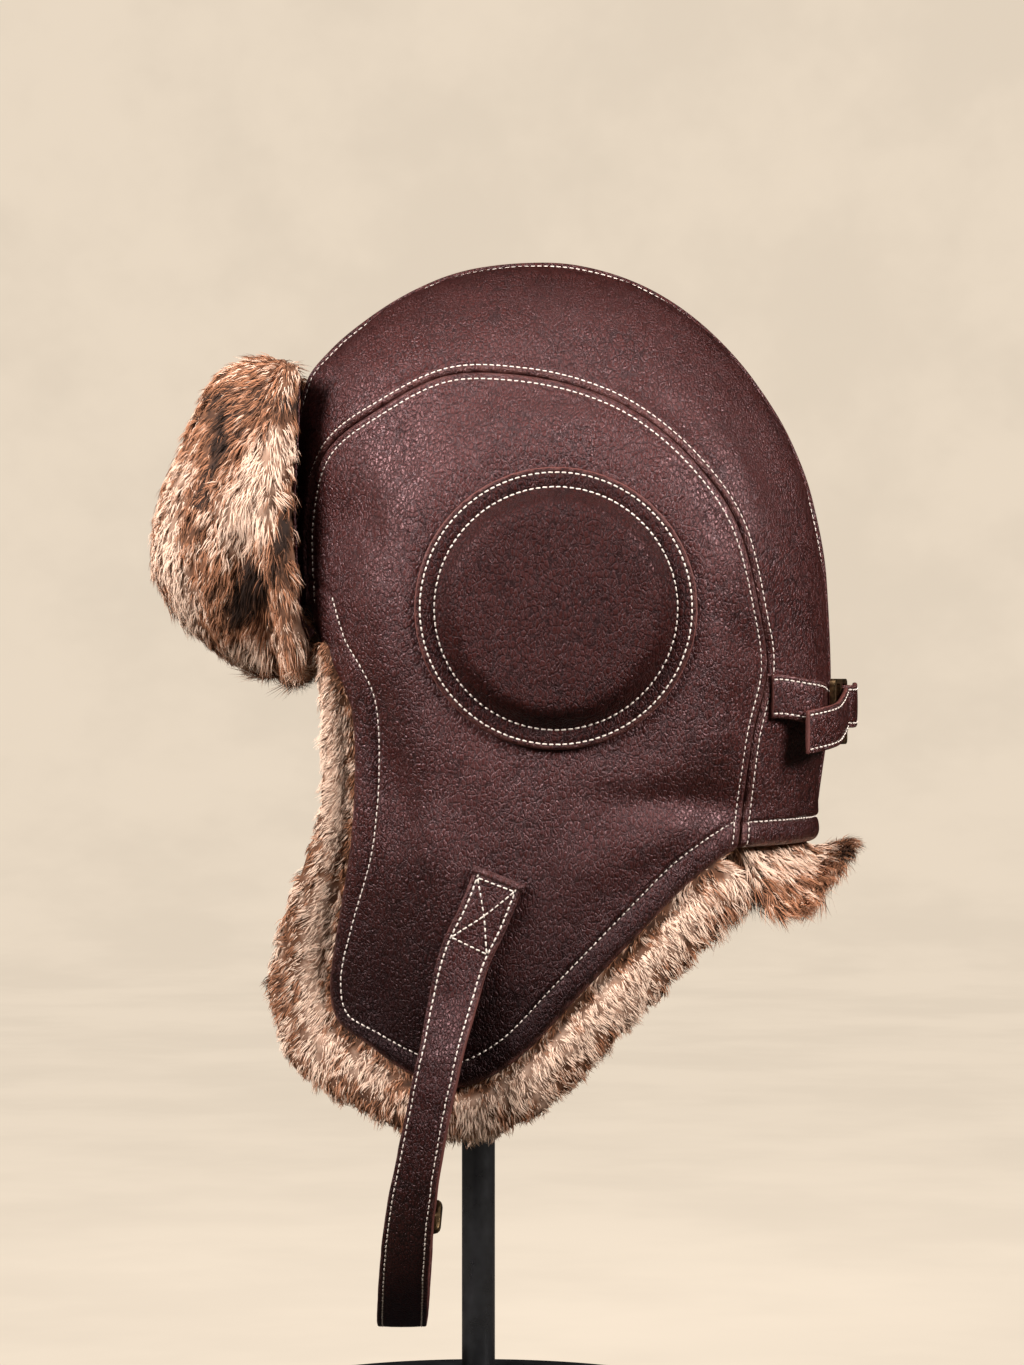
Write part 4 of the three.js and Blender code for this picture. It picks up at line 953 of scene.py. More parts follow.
class HELMET_OT_ear_discs(bpy.types.Operator):
    """Models the padded ear discs with their two rings of stitching"""

    bl_idname = "helmet.ear_discs"
    bl_label = "Ear Discs"

    def execute(self, context):
        thread = context.scene.helmet_thread
        for word, sign in SIDES:
            clear_selection()
            bpy.ops.mesh.primitive_circle_add(vertices=144, radius=0.0545, fill_type="NGON")
            disc = named(f"ear_pad_{word}")
            bpy.ops.object.mode_set(mode="EDIT")
            bpy.ops.mesh.select_all(action="SELECT")
            for (r0, h0), (r1, h1) in zip(DISC_PROFILE, DISC_PROFILE[1:]):
                bpy.ops.mesh.extrude_region_move(TRANSFORM_OT_translate={"value": (0, 0, (h1 - h0) / 1000)})
                bpy.ops.transform.resize(value=(r1 / r0, r1 / r0, 1))
            bpy.ops.mesh.poke()
            bpy.ops.object.mode_set(mode="OBJECT")
            disc.data.transform(Matrix.Rotation(math.radians(90 * sign), 4, "Y"))
            disc.data.transform(Matrix.Translation((EAR + [sign * DISC_FOOT, 0, 0]) / 1000))
            self.soften(disc, sign)
            edit(disc, (bpy.ops.mesh.normals_make_consistent, {"inside": False}))
            y, z = (vertices_of(disc.data)[0] * 1000 - EAR)[:, 1:].T
            add_chart(disc.data, "Hem", np.stack([np.arctan2(z, y) * DISC, DISC - np.hypot(y, z) + 0.4], -1) / 1000)
            # The disc's leather is a darker, duller copy of the brown leather: painted shade on the ear discs, with
            # none painted by height.
            leather = leather_material("disc leather", dark=0.72, low=1, shine=0.22)
            finish(disc, [leather, raw_edge_material()], [f"ear_disc_{word}"])
            for face in disc.data.polygons:
                x, y, z = face.center * 1000 - Vector(EAR)
                face.material_index = int(math.hypot(y, z) > 53.9 and abs(x) > DISC_FOOT + 0.01)
            rows = []
            for radius, height in ((52.4, 1.55), (46.8, 1.5)):
                a = np.linspace(0, 2 * np.pi, 721) + 0.3
                out = np.full_like(a, sign * (DISC_FOOT + height))
                ring = np.stack([out, radius * np.cos(a), radius * np.sin(a)], -1)
                rows.append((ring, np.broadcast_to(np.array([sign, 0.0, 0.0]), ring.shape)))
            sewn(f"ear_disc_stitching_{word}", rows, thread, seed=5)
        return {"FINISHED"}

    def soften(self, disc, sign):
        """Gives the padding uneven stuffing and small pulls round its foot."""
        for vertex in disc.data.vertices:
            y, z = vertex.co.y * 1000 - EAR[1], vertex.co.z * 1000 - EAR[2]
            radius, turn = math.hypot(y, z), math.atan2(z, y)
            if abs(vertex.co.x) * 1000 - DISC_FOOT < 0.5:
                continue
            uneven = 0.35 * noise.noise((y / 17, z / 17, 3)) + 0.25 * noise.noise((y / 8, z / 8, 7))
            foot = bell(radius, 43.5, 2.6) * 0.22 * noise.noise((turn * 9, 0, 5))
            rim = bell(radius, 49.6, 1.6) * 0.16 * noise.noise((turn * 24, 0, 9))
            vertex.co.x += sign * (smooth((46 - radius) / 8) * uneven + foot + rim) / 1000


# Fur


def hairs_on(body, count, flow, tone, density, seed, reach, lay):
    """Scatters curved, tapered hairs over a body's faces. flow, tone and reach are functions of places."""
    fur = bpy.context.scene.helmet_fur
    luck = np.random.default_rng(seed)
    mesh = body.data
    mesh.calc_loop_triangles()
    tri = np.zeros(len(mesh.loop_triangles) * 3, int)
    mesh.loop_triangles.foreach_get("vertices", tri)
    co, normal = vertices_of(mesh)
    co, tri = co * 1000 - EAR, tri.reshape(-1, 3)
    a, b, c = co[tri[:, 0]], co[tri[:, 1]], co[tri[:, 2]]
    area = np.linalg.norm(np.cross(b - a, c - a), axis=1)
    middle, facing = (a + b + c) / 3, unit(normal[tri].sum(1))
    weight = area * density(middle, facing)
    pick = luck.choice(len(tri), count, p=weight / weight.sum())
    r, s = np.sqrt(luck.random(count))[:, None], luck.random(count)[:, None]
    w = np.concatenate([1 - r, r * (1 - s), r * s], 1)
    root = np.einsum("nk,nkd->nd", w, co[tri[pick]])
    up = unit(np.einsum("nk,nkd->nd", w, normal[tri[pick]]))
    way = flow(root)
    way = unit(way - up * np.sum(way * up, 1, keepdims=True))
    # Hairs lean towards the tip of the lock that they grow in
    size = fur.hair * 1000
    tree = kdtree.KDTree(count // 14)
    for n in range(count // 14):
        tree.insert(root[n], n)
    tree.balance()
    lock = np.array([tree.find(p)[1] for p in root.tolist()])
    swirl = luck.normal(0, 0.3, (count, 3))
    lean = unit(way + 0.6 * swirl[lock] + 0.16 * luck.normal(0, 1, (count, 3)))
    long = size * reach(root)[:, None] * luck.uniform(0.6, 1.1, (count, 1))
    long = long * (0.8 + 0.4 * luck.random(count)[lock][:, None])
    first = unit(mix(up, lean, lay))
    last = unit(mix(up, lean, lay + 0.3))
    mid = root + first * long * 0.42
    tip = mid + last * long * 0.58
    tip = mix(tip, tip[lock] + 0.35 * (root - root[lock]), 0.35)
    mid = mix(mid, mid[lock] + 0.7 * (root - root[lock]), 0.25)
    root = root - up * 0.8
    axis = unit(tip - root)
    side = unit(np.cross(axis, up) + 1e-4)
    turn = luck.normal(0, 0.6, (count, 1))
    side = side * np.cos(turn) + np.cross(axis, side) * np.sin(turn)
    radius = fur.width * 500 * luck.uniform(0.6, 1.3, (count, 1))
    half = side * radius
    points = np.stack([root - half, root + half, mid - half * 0.8, mid + half * 0.8, tip], 1)
    faces = np.array([(0, 1, 3), (0, 3, 2), (2, 3, 4)])
    shade = tone(root) + 0.08 * luck.normal(0, 1, count)[lock] + 0.09 * luck.normal(0, 1, count)
    shade = np.clip(shade, 0.03, 0.97)
    faces = (faces[None] + 5 * np.arange(count)[:, None, None]).reshape(-1, 3)
    piece = mesh_piece(body.name + "_hair", points.reshape(-1, 3), faces)
    u = shade[:, None] + np.array([0, 0.01, -0.01, 0.01, 0])
    v = np.broadcast_to(np.array([0, 0, 0.45, 0.45, 1]), u.shape)
    add_chart(piece.data, "OFBake", np.stack([u.ravel(), v.ravel()], -1))
    across = unit(np.cross(side, axis))
    return piece, np.repeat(unit(mix(across, up, 0.7)), 5, 0)


def fur_body(node, name, shrink, move, even):
    """A fur solid smoothed and drawn in, to carry the hairs."""
    body = copy_of(node, name)
    apply_modifier(body, "SUBSURF", levels=2, render_levels=2)
    if even:
        apply_modifier(body, "SMOOTH", factor=0.5, iterations=even)
    co, normal = vertices_of(body.data)
    place = co * 1000 - EAR
    co = co + (move(place) - normal * shrink(place)[:, None]) / 1000
    body.data.vertices.foreach_set("co", co.ravel())
    body.data.update()
    return body


def furred(name, node, count, flow, tone, density, seed, shrink, reach, lay=0.86, move=lambda p: p * 0, even=0):
    """Fur in the place of a CAD solid: its body with hairs on it, lit as one soft surface."""
    body = fur_body(node, name, shrink, move, even)
    hair, facing = hairs_on(body, count, flow, tone, density, seed, reach, lay)
    co, plain = vertices_of(body.data)
    place = co * 1000 - EAR
    shade = np.clip(tone(place) * 0.75, 0.02, 0.98)
    add_chart(body.data, "OFBake", np.stack([shade, 0.2 + 0.06 * waves(place, 3, 8)], -1))
    piece = finish(joined(name, [body, hair]), [fur_material()], [node])
    piece.data.normals_split_custom_set_from_vertices(np.vstack([plain, facing]))
    return piece


BROW_PATCHES = (
    (-105, 81, 6, 5, 0, -0.5), (-128, 80, 16, 14, 0, -0.22), (-135, 56, 5, 30, 0.35, -0.36),
    (-117, 44, 12, 26, 0.3, 0.4), (-107, 22, 4, 34, 0.1, -0.36), (-120, 10, 7, 18, 0.45, -0.72),
    (-151, 26, 8, 24, -0.1, 0.3), (-136, 12, 4, 26, -0.1, -0.25), (-125, -18, 26, 9, -0.6, 0.3),
    (-109, 2, 4, 14, 0.2, 0.1), (-114, -22, 6, 5, 0, -0.2), (-146, 0, 10, 8, 0, 0.3),
)  # y, z, half width, half height, lean and how much lighter
FLAP_PATCHES = (
    (-84, -60, 5, 34, 0, 0.25), (-94, -80, 5, 30, 0, -0.15), (-106, -150, 7, 14, 0, -0.2),
    (-112, -120, 6, 18, 0, 0.2), (-70, -190, 16, 6, -0.3, -0.25), (-93, -170, 8, 10, 0, 0.1),
    (-30, -203, 14, 5, 0, 0.3), (20, -150, 40, 8, 0.9, 0.2),
)


def patched(place, patches):
    """How much lighter or darker the fur is, by patches seen from the side."""
    lighter = np.zeros(len(place))
    for y, z, wide, high, lean, amount in patches:
        dy, dz, c, s = place[:, 1] - y, place[:, 2] - z, math.cos(lean), math.sin(lean)
        lighter += amount * np.exp(-(((dy * c - dz * s) / wide) ** 2) - ((dy * s + dz * c) / high) ** 2)
    return lighter


def shifted(place, y, z):
    return np.stack([place[:, 0] * 0, y, z], -1)


def streaks(place, seed):
    """Light and dark streaks of the fur, from 0 dark to 1 light."""
    return 0.55 * waves(place * [0.5, 1, 0.4], 9, seed) + 0.6 * waves(place * [1, 1, 0.5], 3, seed + 1)


class HELMET_OT_fur(bpy.types.Operator):
    """Models the fur of the ear flaps, the nape and the forehead flap"""

    bl_idname = "helmet.fur"
    bl_label = "Fur"

    def execute(self, context):
        fur = context.scene.helmet_fur
        shell = BVHTree.FromPolygons(*self.leather_surface())

        side = np.vstack([seam_line[::6], edge_line[::-6]])

        def uncovered(place):
            """0 where a side panel covers the fur, seen from the side, and 1 elsewhere."""
            (y, z), (a, b), (c, d) = place[:, 1:].T, side.T, np.roll(side, -1, 0).T
            over = (b[:, None] > z) != (d[:, None] > z)
            step = np.where(np.abs(d - b) < 1e-9, 1e-9, d - b)[:, None]
            crossed = over & (y < (c - a)[:, None] * (z - b[:, None]) / step + a[:, None])
            return np.where((crossed.sum(0) % 2 == 0) | (to_edge(place) < 4.5), 1.0, 0.0)

        def to_edge(place):
            return off_line(place[:, 1:], edge_line[::6])

        def from_leather(place):
            return np.array([shell.find_nearest(Vector(p))[3] for p in place.tolist()])

        def banded(place, middle, seed, contrast, rim, ridge, tip):
            """Streaky fur with a dark rim by the leather, painted shade where the fur meets it, a light ridge beyond it
            and darker tips.
            """
            d = from_leather(place)
            tone = middle + contrast * streaks(place, seed) + ridge[0] * bell(d, ridge[1], 4)
            # Painted shade: the tone is darkened close to the leather.
            return tone - rim[0] * bell(d, 0, rim[1]) - tip[0] * smooth((d - tip[1]) / tip[2])

        def flap_flow(place):
            met = np.array([shell.find_nearest(Vector(p))[0] for p in place.tolist()])
            front = smooth((-place[:, 1:2] - 45) / 25)
            return unit(place - met) + np.array([0, 0, -0.15]) - np.array([0, 0, 0.8]) * front

        def flap_tone(place):
            return banded(place, 0.56, 11, 0.46, (0.28, 3.5), (0.25, 9), (0.04, 13, 5)) + patched(place, FLAP_PATCHES)

        def flap_move(place):
            _, y, z = place.T
            return shifted(place, 4 * smooth((y - 62) / 16), 18 * smooth((z + 62) / 32) * smooth((-y - 60) / 15))

        for word, sign in SIDES:

            def density(place, facing, sign=sign):
                inner = facing[:, 0] * sign < -0.4
                return np.where(inner, 0.3, uncovered(place)) * (1 + 1.2 * bell(to_edge(place), 0, 5))

            furred(
                f"flap_fur_{word}", f"fur_lining_{word}", fur.flap, flap_flow, flap_tone, density, 21 + sign,
                shrink=lambda p: mix(1, -1.5, smooth((from_leather(p) - 2) / 6)),
                reach=lambda p: 0.62 + 0.4 * smooth((p[:, 1] - 45) / 20), even=40, move=flap_move,
            )

        def nape_move(place):
            _, y, z = place.T
            rise = 26 * smooth((y - 92) / 36) - 12
            return shifted(place, -5 * smooth((100 - y) / 14), rise * smooth((2 - NAPE - z) / 12))

        furred(
            "nape_fur", "fur_lining_nape", fur.nape,
            lambda p: unit(p * [0.5, 1, 0]) * 0.25 + np.array([0, 0, -1.0]),
            lambda p: banded(p, 0.42, 15, 0.34, (0.2, 3), (0.3, 7), (0.14, 10, 6)),
            lambda p, n: np.where(n[:, 1] < -0.3, 0.4, 1) * smooth((2 - NAPE - p[:, 2]) / 4), 31,
            shrink=lambda p: 1 + 2 * smooth((p[:, 1] - 125) / 12),
            reach=lambda p: 0.6 + 0.7 * smooth((125 - p[:, 1]) / 30), lay=0.75, even=10, move=nape_move,
        )

        def crevice(place):
            """The furrow down each side of the forehead flap's fur."""
            y, z = place[:, 1], place[:, 2]
            line = mix(-124, -114, np.clip((34 - z) / 55, 0, 1))
            ends = smooth((42 - z) / 18) * smooth((z + 34) / 18)
            return bell(y, line, 6) * ends * smooth((np.abs(place[:, 0]) - 35) / 15)

        def forehead_flow(place):
            z = place[:, 2:]
            down = np.array([0, -0.38, -1.0])
            top = np.array([0, -0.9, -0.1])
            back = smooth((place[:, 1:2] + 122) / 20)
            return mix(mix(down, top, smooth((z - 50) / 45)), np.array([0, 0.3, -1]), back)

        def forehead_reach(place):
            _, y, z = place.T
            under = smooth((-z - 5) / 12) * smooth((y + 125) / 10)
            return 0.75 + 0.6 * bell(y, -118, 12) * bell(z, 25, 40) + 0.6 * under

        furred(
            "brow_fur", "forehead_fur", fur.forehead, forehead_flow,
            lambda p: 0.45 + 0.42 * streaks(p, 19) + patched(p, BROW_PATCHES),
            lambda p, n: np.where(n[:, 1] > 0.8, 0.3, 1), 41,
            shrink=lambda p: 1.8 + 6 * crevice(p) - 3.5 * smooth((p[:, 1] + 112) / 8), reach=forehead_reach, even=8,
        )
        return {"FINISHED"}

    def leather_surface(self):
        """The panels' CAD solids as one list of places and faces, in millimetres round the ear centre."""
        points, faces = [], []
        for name in ("side_panel_left", "side_panel_right", "crown_panel_left", "crown_panel_right"):
            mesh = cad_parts[name].data
            base = len(points)
            points += [Vector(np.array(v.co) * 1000 - EAR) for v in mesh.vertices]
            faces += [[v + base for v in f.vertices] for f in mesh.polygons]
        return points, faces


# Forehead flap


class HELMET_OT_forehead_flap(bpy.types.Operator):
    """Models the leather of the turned-up forehead flap"""

    bl_idname = "helmet.forehead_flap"
    bl_label = "Forehead Flap"

    def execute(self, context):
        piece = copy_of("forehead_flap", "brow_leather")
        apply_modifier(piece, "SUBSURF", levels=2, render_levels=2)
        add_chart(piece.data, "Hem", np.tile([0.0, 0.02], (len(piece.data.vertices), 1)))
        finish(piece, [leather_material()], ["forehead_flap"])
        return {"FINISHED"}


# Straps

CHIN_ROUTE = np.array((
    (-0.205, 0, 0.362, 0), (-0.258, 0, 0.412, 0), (-0.322, 0, 0.465, 4), (-0.375, 0.985, 0.53, 20),
    (-0.42, 1.055, 0.6, 32), (-0.46, 1.06, 0.67, 36), (-0.495, 1.03, 0.74, 34), (-0.525, 0.95, 0.81, 26),
    (-0.545, 0.8, 0.88, 16), (-0.558, 0.55, 0.95, 6), (-0.565, 0.27, 0.99, 0), (-0.567, 0, 1, 0),
))  # y, x, down and turn; the first three places are sewn on the leather
SEWN = 3
MEET = 14  # place on the whole loop where its two lengths meet under the clasp
STRAP, STRAP_THICK, STRAP_LIFT = 20, 2.6, 0.5


def face_normal(place):
    """The shell's outward normal at places on either side."""
    y, z, d = place[:, 1], place[:, 2], 0.5
    slope_y = (face_x(y + d, z) - face_x(y - d, z)) / (2 * d)
    slope_z = (face_x(y, z + d) - face_x(y, z - d)) / (2 * d)
    normal = unit(np.stack([np.ones_like(y), -slope_y, -slope_z], -1))
    return normal * np.stack([np.where(place[:, 0] < 0, -1, 1), np.ones_like(y), np.ones_like(y)], -1)


def loose_line(points, steps):
    """A centripetal line through points, with its directions."""
    p = np.vstack([2 * points[0] - points[1], points, 2 * points[-1] - points[-2]])
    t = np.linspace(0, 1, steps, endpoint=False)[:, None]
    places, ways = [], []
    for k, (a, b, c, d) in enumerate(zip(p, p[1:], p[2:], p[3:])):
        e, f, g = (max(np.linalg.norm(m - n), 1e-6) ** 0.5 for m, n in ((b, a), (c, b), (d, c)))
        v = ((b - a) / e - (c - a) / (e + f) + (c - b) / f) * f
        w = ((c - b) / f - (d - b) / (f + g) + (d - c) / g) * f
        s = t if k < len(p) - 4 else np.vstack([t, [[1]]])
        places.append((2 * b - 2 * c + v + w) * s**3 + (3 * c - 3 * b - 2 * v - w) * s**2 + v * s + b)
        ways.append(3 * (2 * b - 2 * c + v + w) * s**2 + 2 * (3 * c - 3 * b - 2 * v - w) * s + v)
    return np.vstack(places), unit(np.vstack(ways))


def turned_about(v, axis, angle):
    c, s = np.cos(angle)[:, None], np.sin(angle)[:, None]
    return v * c + np.cross(axis, v) * s + axis * np.sum(axis * v, 1, keepdims=True) * (1 - c)


def chin_frames(steps):
    """The chin strap's outer face over the whole loop: number, place, across, facing and direction."""
    y, z = CHIN_ROUTE[:, 0] * HALF_LENGTH, -CHIN_ROUTE[:, 2] * LOOP
    half = np.stack([CHIN_ROUTE[:, 1] * HALF_WIDTH, y, z], -1)
    on = on_face(np.stack([y, z], -1)[:SEWN])
    half[:SEWN] = on + face_normal(on) * (STRAP_THICK + STRAP_LIFT)
    points = np.vstack([half, (half * [-1, 1, 1])[-2::-1]])
    turns = np.concatenate([CHIN_ROUTE[:, 3], -CHIN_ROUTE[-2::-1, 3]])
    place, way = loose_line(points, steps)
    q = np.arange(len(place)) / steps
    k = np.minimum(q.astype(int), len(turns) - 2)
    turn = mix(turns[k], turns[k + 1], smooth(q - k))
    across = unit(np.array([0, 1, 0]) - way * way[:, 1:2])
    across = turned_about(across, way, np.radians(turn))
    face = unit(np.cross(way, across))
    end = np.minimum(q, q[-1] - q)
    face = unit(mix(face, face_normal(place), (1 - smooth(end - SEWN + 1))[:, None]))
    across = unit(np.cross(face, way))
    return q, place, across, unit(np.cross(way, across)), way


ROW_AT = 0.78  # a strap's two rows of stitches, as shares of its half width
HALF_SECTION = ((-1, 0.5), (-0.985, 0.16), (-0.94, 0.02), (-0.84, 0), (-ROW_AT, 0.11), (-0.72, 0), (-0.4, -0.06))
SECTION = (*HALF_SECTION, (0, -0.08), *((-w, d) for w, d in reversed(HALF_SECTION)))


def band(name, node, place, across, face, width, thick, seed, slack=0.35):
    """A strap along a line: its outer face follows place, and both faces have a furrow under each row of stitches."""
    ring = np.array([*SECTION, *((w, 1 - d) for w, d in SECTION[-2:0:-1])])
    ripple = waves(place, 9, seed) * slack
    centre = place + face * ripple[:, None]
    wide = width / 2 * (1 + 0.012 * waves(place, 7, seed + 2))
    points = centre[:, None] + ring[None, :, :1] * (across * wide[:, None])[:, None]
    points = points - ring[None, :, 1:] * thick * face[:, None]
    rows, count = points.shape[:2]
    faces, raw = [], []
    for i in range(rows - 1):
        for j in range(count):
            k = (j + 1) % count
            faces.append((i * count + j, i * count + k, (i + 1) * count + k, (i + 1) * count + j))
            raw.append(j in (0, count - 1, len(SECTION) - 2, len(SECTION) - 1))
    faces += [tuple(range(count)), tuple((rows - 1) * count + j for j in reversed(range(count)))]
    raw += [True, True]
    piece = mesh_piece(name, points.reshape(-1, 3), faces)
    edit(piece, (bpy.ops.mesh.normals_make_consistent, {"inside": False}))
    depth = (1 - np.abs(ring[:, 0])) * width / 2 + 0.9
    uv = np.stack(np.broadcast_arrays(run_of(place)[:, None], depth), -1).reshape(-1, 2) / 1000
    add_chart(piece.data, "Hem", uv)
    # The strap leather takes a smaller share of the painted shade towards the foot of the flaps.
    finish(piece, [leather_material("strap leather", dark=0.95, low=0.7), raw_edge_material()], [node])
    piece.data.polygons.foreach_set("material_index", np.array(raw, int))
    rows = []
    for w in (-ROW_AT, ROW_AT):
        for deep, sign in ((0.08, 1), (0.92, -1)):
            rows.append((centre + across * wide[:, None] * w - face * thick * deep, face * sign))
    return piece, rows


class HELMET_OT_chin_strap(bpy.types.Operator):
    """Models both lengths of the chin strap, sewn on with a crossed box, and their clasp"""

    bl_idname = "helmet.chin_strap"
    bl_label = "Chin Strap"

    def execute(self, context):
        thread = context.scene.helmet_thread
        q, place, across, face, way = chin_frames(16)
        for word, first, last, end, seed in (("left", 0, MEET, -1, 51), ("right", MEET, q[-1], 0, 53)):
            pick = np.flatnonzero((q >= first - 1e-9) & (q <= last + 1e-9))
            at, a, f = place[pick].copy(), across[pick], face[pick]
            at[end] += way[pick][end] * (0.4 if word == "right" else -0.4)
            piece, rows = band(f"chin_leather_{word}", f"chin_strap_{word}", at, a, f, STRAP, STRAP_THICK, seed)
            at, a, f = (v if word == "left" else v[::-1] for v in (at, a, f))
            self.turned_end(piece, at[0] - f[0] * STRAP_THICK / 2, a[0], f[0])
            rows += self.crossed_box(at, a, f)
            sewn(f"chin_strap_stitching_{word}", rows, thread, seed=61)
        clasp = copy_of("chin_clasp", "clasp")
        apply_modifier(clasp, "BEVEL", width=0.0006, segments=3, angle_limit=0.6)
        finish(clasp, [metal_material()], ["chin_clasp"])
        return {"FINISHED"}

    def turned_end(self, strap, place, across, face):
        """The strap's sewn end is turned under: a roll of leather across it."""
        name = strap.name
        clear_selection()
        bpy.ops.mesh.primitive_cylinder_add(vertices=20, radius=0.0018, depth=(STRAP + 1.2) / 1000)
        roll = named(name + "_roll")
        apply_modifier(roll, "BEVEL", width=0.0007, segments=2, limit_method="ANGLE", angle_limit=0.8)
        turn = Matrix([face, np.cross(across, face), across]).transposed().to_4x4()
        roll.data.transform(Matrix.Translation((place + EAR) / 1000) @ turn)
        roll.data.uv_layers[0].name = "Hem"
        # This puts the roll partly in the worn colour: wear on the fold, and a painted highlight on it.
        roll.data.uv_layers[0].data.foreach_set("uv", np.tile([0, 0.0018], len(roll.data.loops)))
        roll.data.materials.append(strap.data.materials[0])
        roll.data.shade_smooth()
        joined(name, [strap, roll])

    def crossed_box(self, place, across, face):
        """Stitches of the box and its two diagonals at the sewn end."""
        run = run_of(place)

        def at(length, w):
            p, a, f = (sampled(line, run, length) for line in (place, across, face))
            return p + a * w[:, None] * STRAP / 2 + f * 0.1, f

        t = np.linspace(0, 1, 30)
        top, foot, w = 2.2, 28, 0.76
        lines = [
            (np.full(30, top), mix(-w, w, t)), (np.full(30, foot), mix(-w, w, t)),
            (mix(top, foot, t), mix(-w, w, t)), (mix(top, foot, t), mix(w, -w, t)),
        ]
        return [at(*line) for line in lines]


# The back strap and its buckle

BACK_STRAP, BACK_THICK, BACK_DROP = 17, 2, 36
BUCKLE_AT, BUCKLE_LONG, WALL, STAND_OFF = 36, 21, 2.2, 6
GAP = 0.4
FREE_DROP = 12


def off_back(x, z, out):
    """Places off the back of the shell, by their distance from the middle plane."""
    front, back = oval(z)
    half, wide = (back - front) / 2, half_width(z)
    share_x = np.abs(x) / wide
    share = np.clip(1 - share_x**ROUND, 0, None)
    away = unit(np.stack([np.sign(x) * share_x ** (ROUND - 1) / wide, share ** (1 - 1 / ROUND) / half, x * 0], -1))
    return np.stack([x, (front + back) / 2 + half * share ** (1 / ROUND), z + x * 0], -1) + away * out[..., None]


def on_crown(u, out):
    """Places along the back strap's line round the crown, from the centre seam."""
    u, out = np.broadcast_arrays(np.atleast_1d(u).astype(float), np.atleast_1d(out).astype(float))
    x = np.linspace(-0.85 * HALF_WIDTH, 0.85 * HALF_WIDTH, 301)
    run = run_of(off_back(x, np.full(301, -float(BACK_DROP)), x * 0))
    return off_back(np.interp(u + np.interp(0, x, run), run, x), np.full(u.shape, -float(BACK_DROP)), out)


def back_place(u, out, up):
    """Places of the back strap, which lies flat in its buckle and follows the leather elsewhere."""
    middle = on_crown(BUCKLE_AT, STAND_OFF)[0]
    way = unit(on_crown(BUCKLE_AT + 1, 0)[0] - on_crown(BUCKLE_AT - 1, 0)[0])
    away = unit(on_crown(BUCKLE_AT, 1)[0] - on_crown(BUCKLE_AT, 0)[0])
    flat = middle + (u - BUCKLE_AT)[:, None] * way + (out - STAND_OFF)[:, None] * away
    off = smooth((np.abs(u - BUCKLE_AT) - BUCKLE_LONG * 0.55) / BUCKLE_LONG)
    return mix(flat, on_crown(u, out), off[:, None]) + np.stack([up * 0, up * 0, up], -1)


TURN = WALL * 0.71 + GAP + BACK_THICK / 2
ON_LEATHER = BACK_THICK / 2 + 2 * GAP
UNDER, OVER = STAND_OFF - TURN, STAND_OFF + TURN


def fold_over(bar, side, low):
    turns = [math.pi * t for t in (0, 0.25, 0.5, 0.75, 1)]
    return [(bar + side * TURN * math.sin(t), STAND_OFF + TURN * math.cos(t), low) for t in turns]


SEAM_AT = 78
FAR_BAR = BUCKLE_AT - BUCKLE_LONG / 2 + WALL / 2
BACK_ROUTES = {
    "left": [
        (SEAM_AT, ON_LEATHER, -2), (mix(SEAM_AT, BUCKLE_AT, 0.12), ON_LEATHER + GAP, -2),
        (mix(SEAM_AT, BUCKLE_AT, 0.4), STAND_OFF - GAP, 0),
        (BUCKLE_AT + BUCKLE_LONG / 2, UNDER, 2), *fold_over(BUCKLE_AT, -1, 3)[::-1],
        (BUCKLE_AT + BUCKLE_LONG / 2, OVER + GAP, 0.62 * FREE_DROP), (BUCKLE_AT + 31, OVER + GAP, FREE_DROP),
    ],
    "right": [
        (FAR_BAR - 11, OVER - GAP, 1), (FAR_BAR - 3.96, OVER, 2), *fold_over(FAR_BAR, 1, 2),
        (FAR_BAR - 7.04, UNDER - GAP / 2, 2),
        (mix(FAR_BAR, -SEAM_AT, 0.3), ON_LEATHER + GAP, 1), (mix(FAR_BAR, -SEAM_AT, 0.65), ON_LEATHER + GAP, 0),
        (mix(FAR_BAR, -SEAM_AT, 0.94), ON_LEATHER, -1), (-SEAM_AT, ON_LEATHER, -2),
    ],
}  # places of the strap's middle layer: along from the centre, out from the leather and down


class HELMET_OT_back_strap(bpy.types.Operator):
    """Models the adjuster strap at the back, threaded through its bronze slide"""

    bl_idname = "helmet.back_strap"
    bl_label = "Back Strap"

    def execute(self, context):
        thread = context.scene.helmet_thread
        for word, route in BACK_ROUTES.items():
            line, way = loose_line(np.array(route) * [1, 1, -1], 10)
            n = unit(np.stack([-way[:, 1], way[:, 0]], -1))
            half = n * BACK_THICK / 2
            outer, inner = (back_place(*(line[:, :2] + side * half).T, line[:, 2]) for side in (1, -1))
            face = unit(outer - inner)
            across = np.broadcast_to(np.array([0.0, 0.0, 1.0]), face.shape)
            names = f"back_leather_{word}", f"back_strap_{word}"
            _, rows = band(*names, outer, across, face, BACK_STRAP, BACK_THICK, 71, slack=0.12)
            sewn(f"back_strap_stitching_{word}", rows, thread, seed=73)
        buckle = copy_of("back_buckle", "slide")
        apply_modifier(buckle, "BEVEL", width=0.0005, segments=3, angle_limit=0.6)
        finish(buckle, [metal_material()], ["back_buckle"])
        return {"FINISHED"}


# Stand and stage

DOME = 0.06  # radius of the stand's domed head
FLOOR_SIDES, FLOOR_Z, FLOOR_FLAT, FLOOR_CURVE = 96, -0.0006, 2.6, 1.4
VIEW_HEIGHT = 0.5528  # what the camera's width of 36 mm takes in at the middle plane


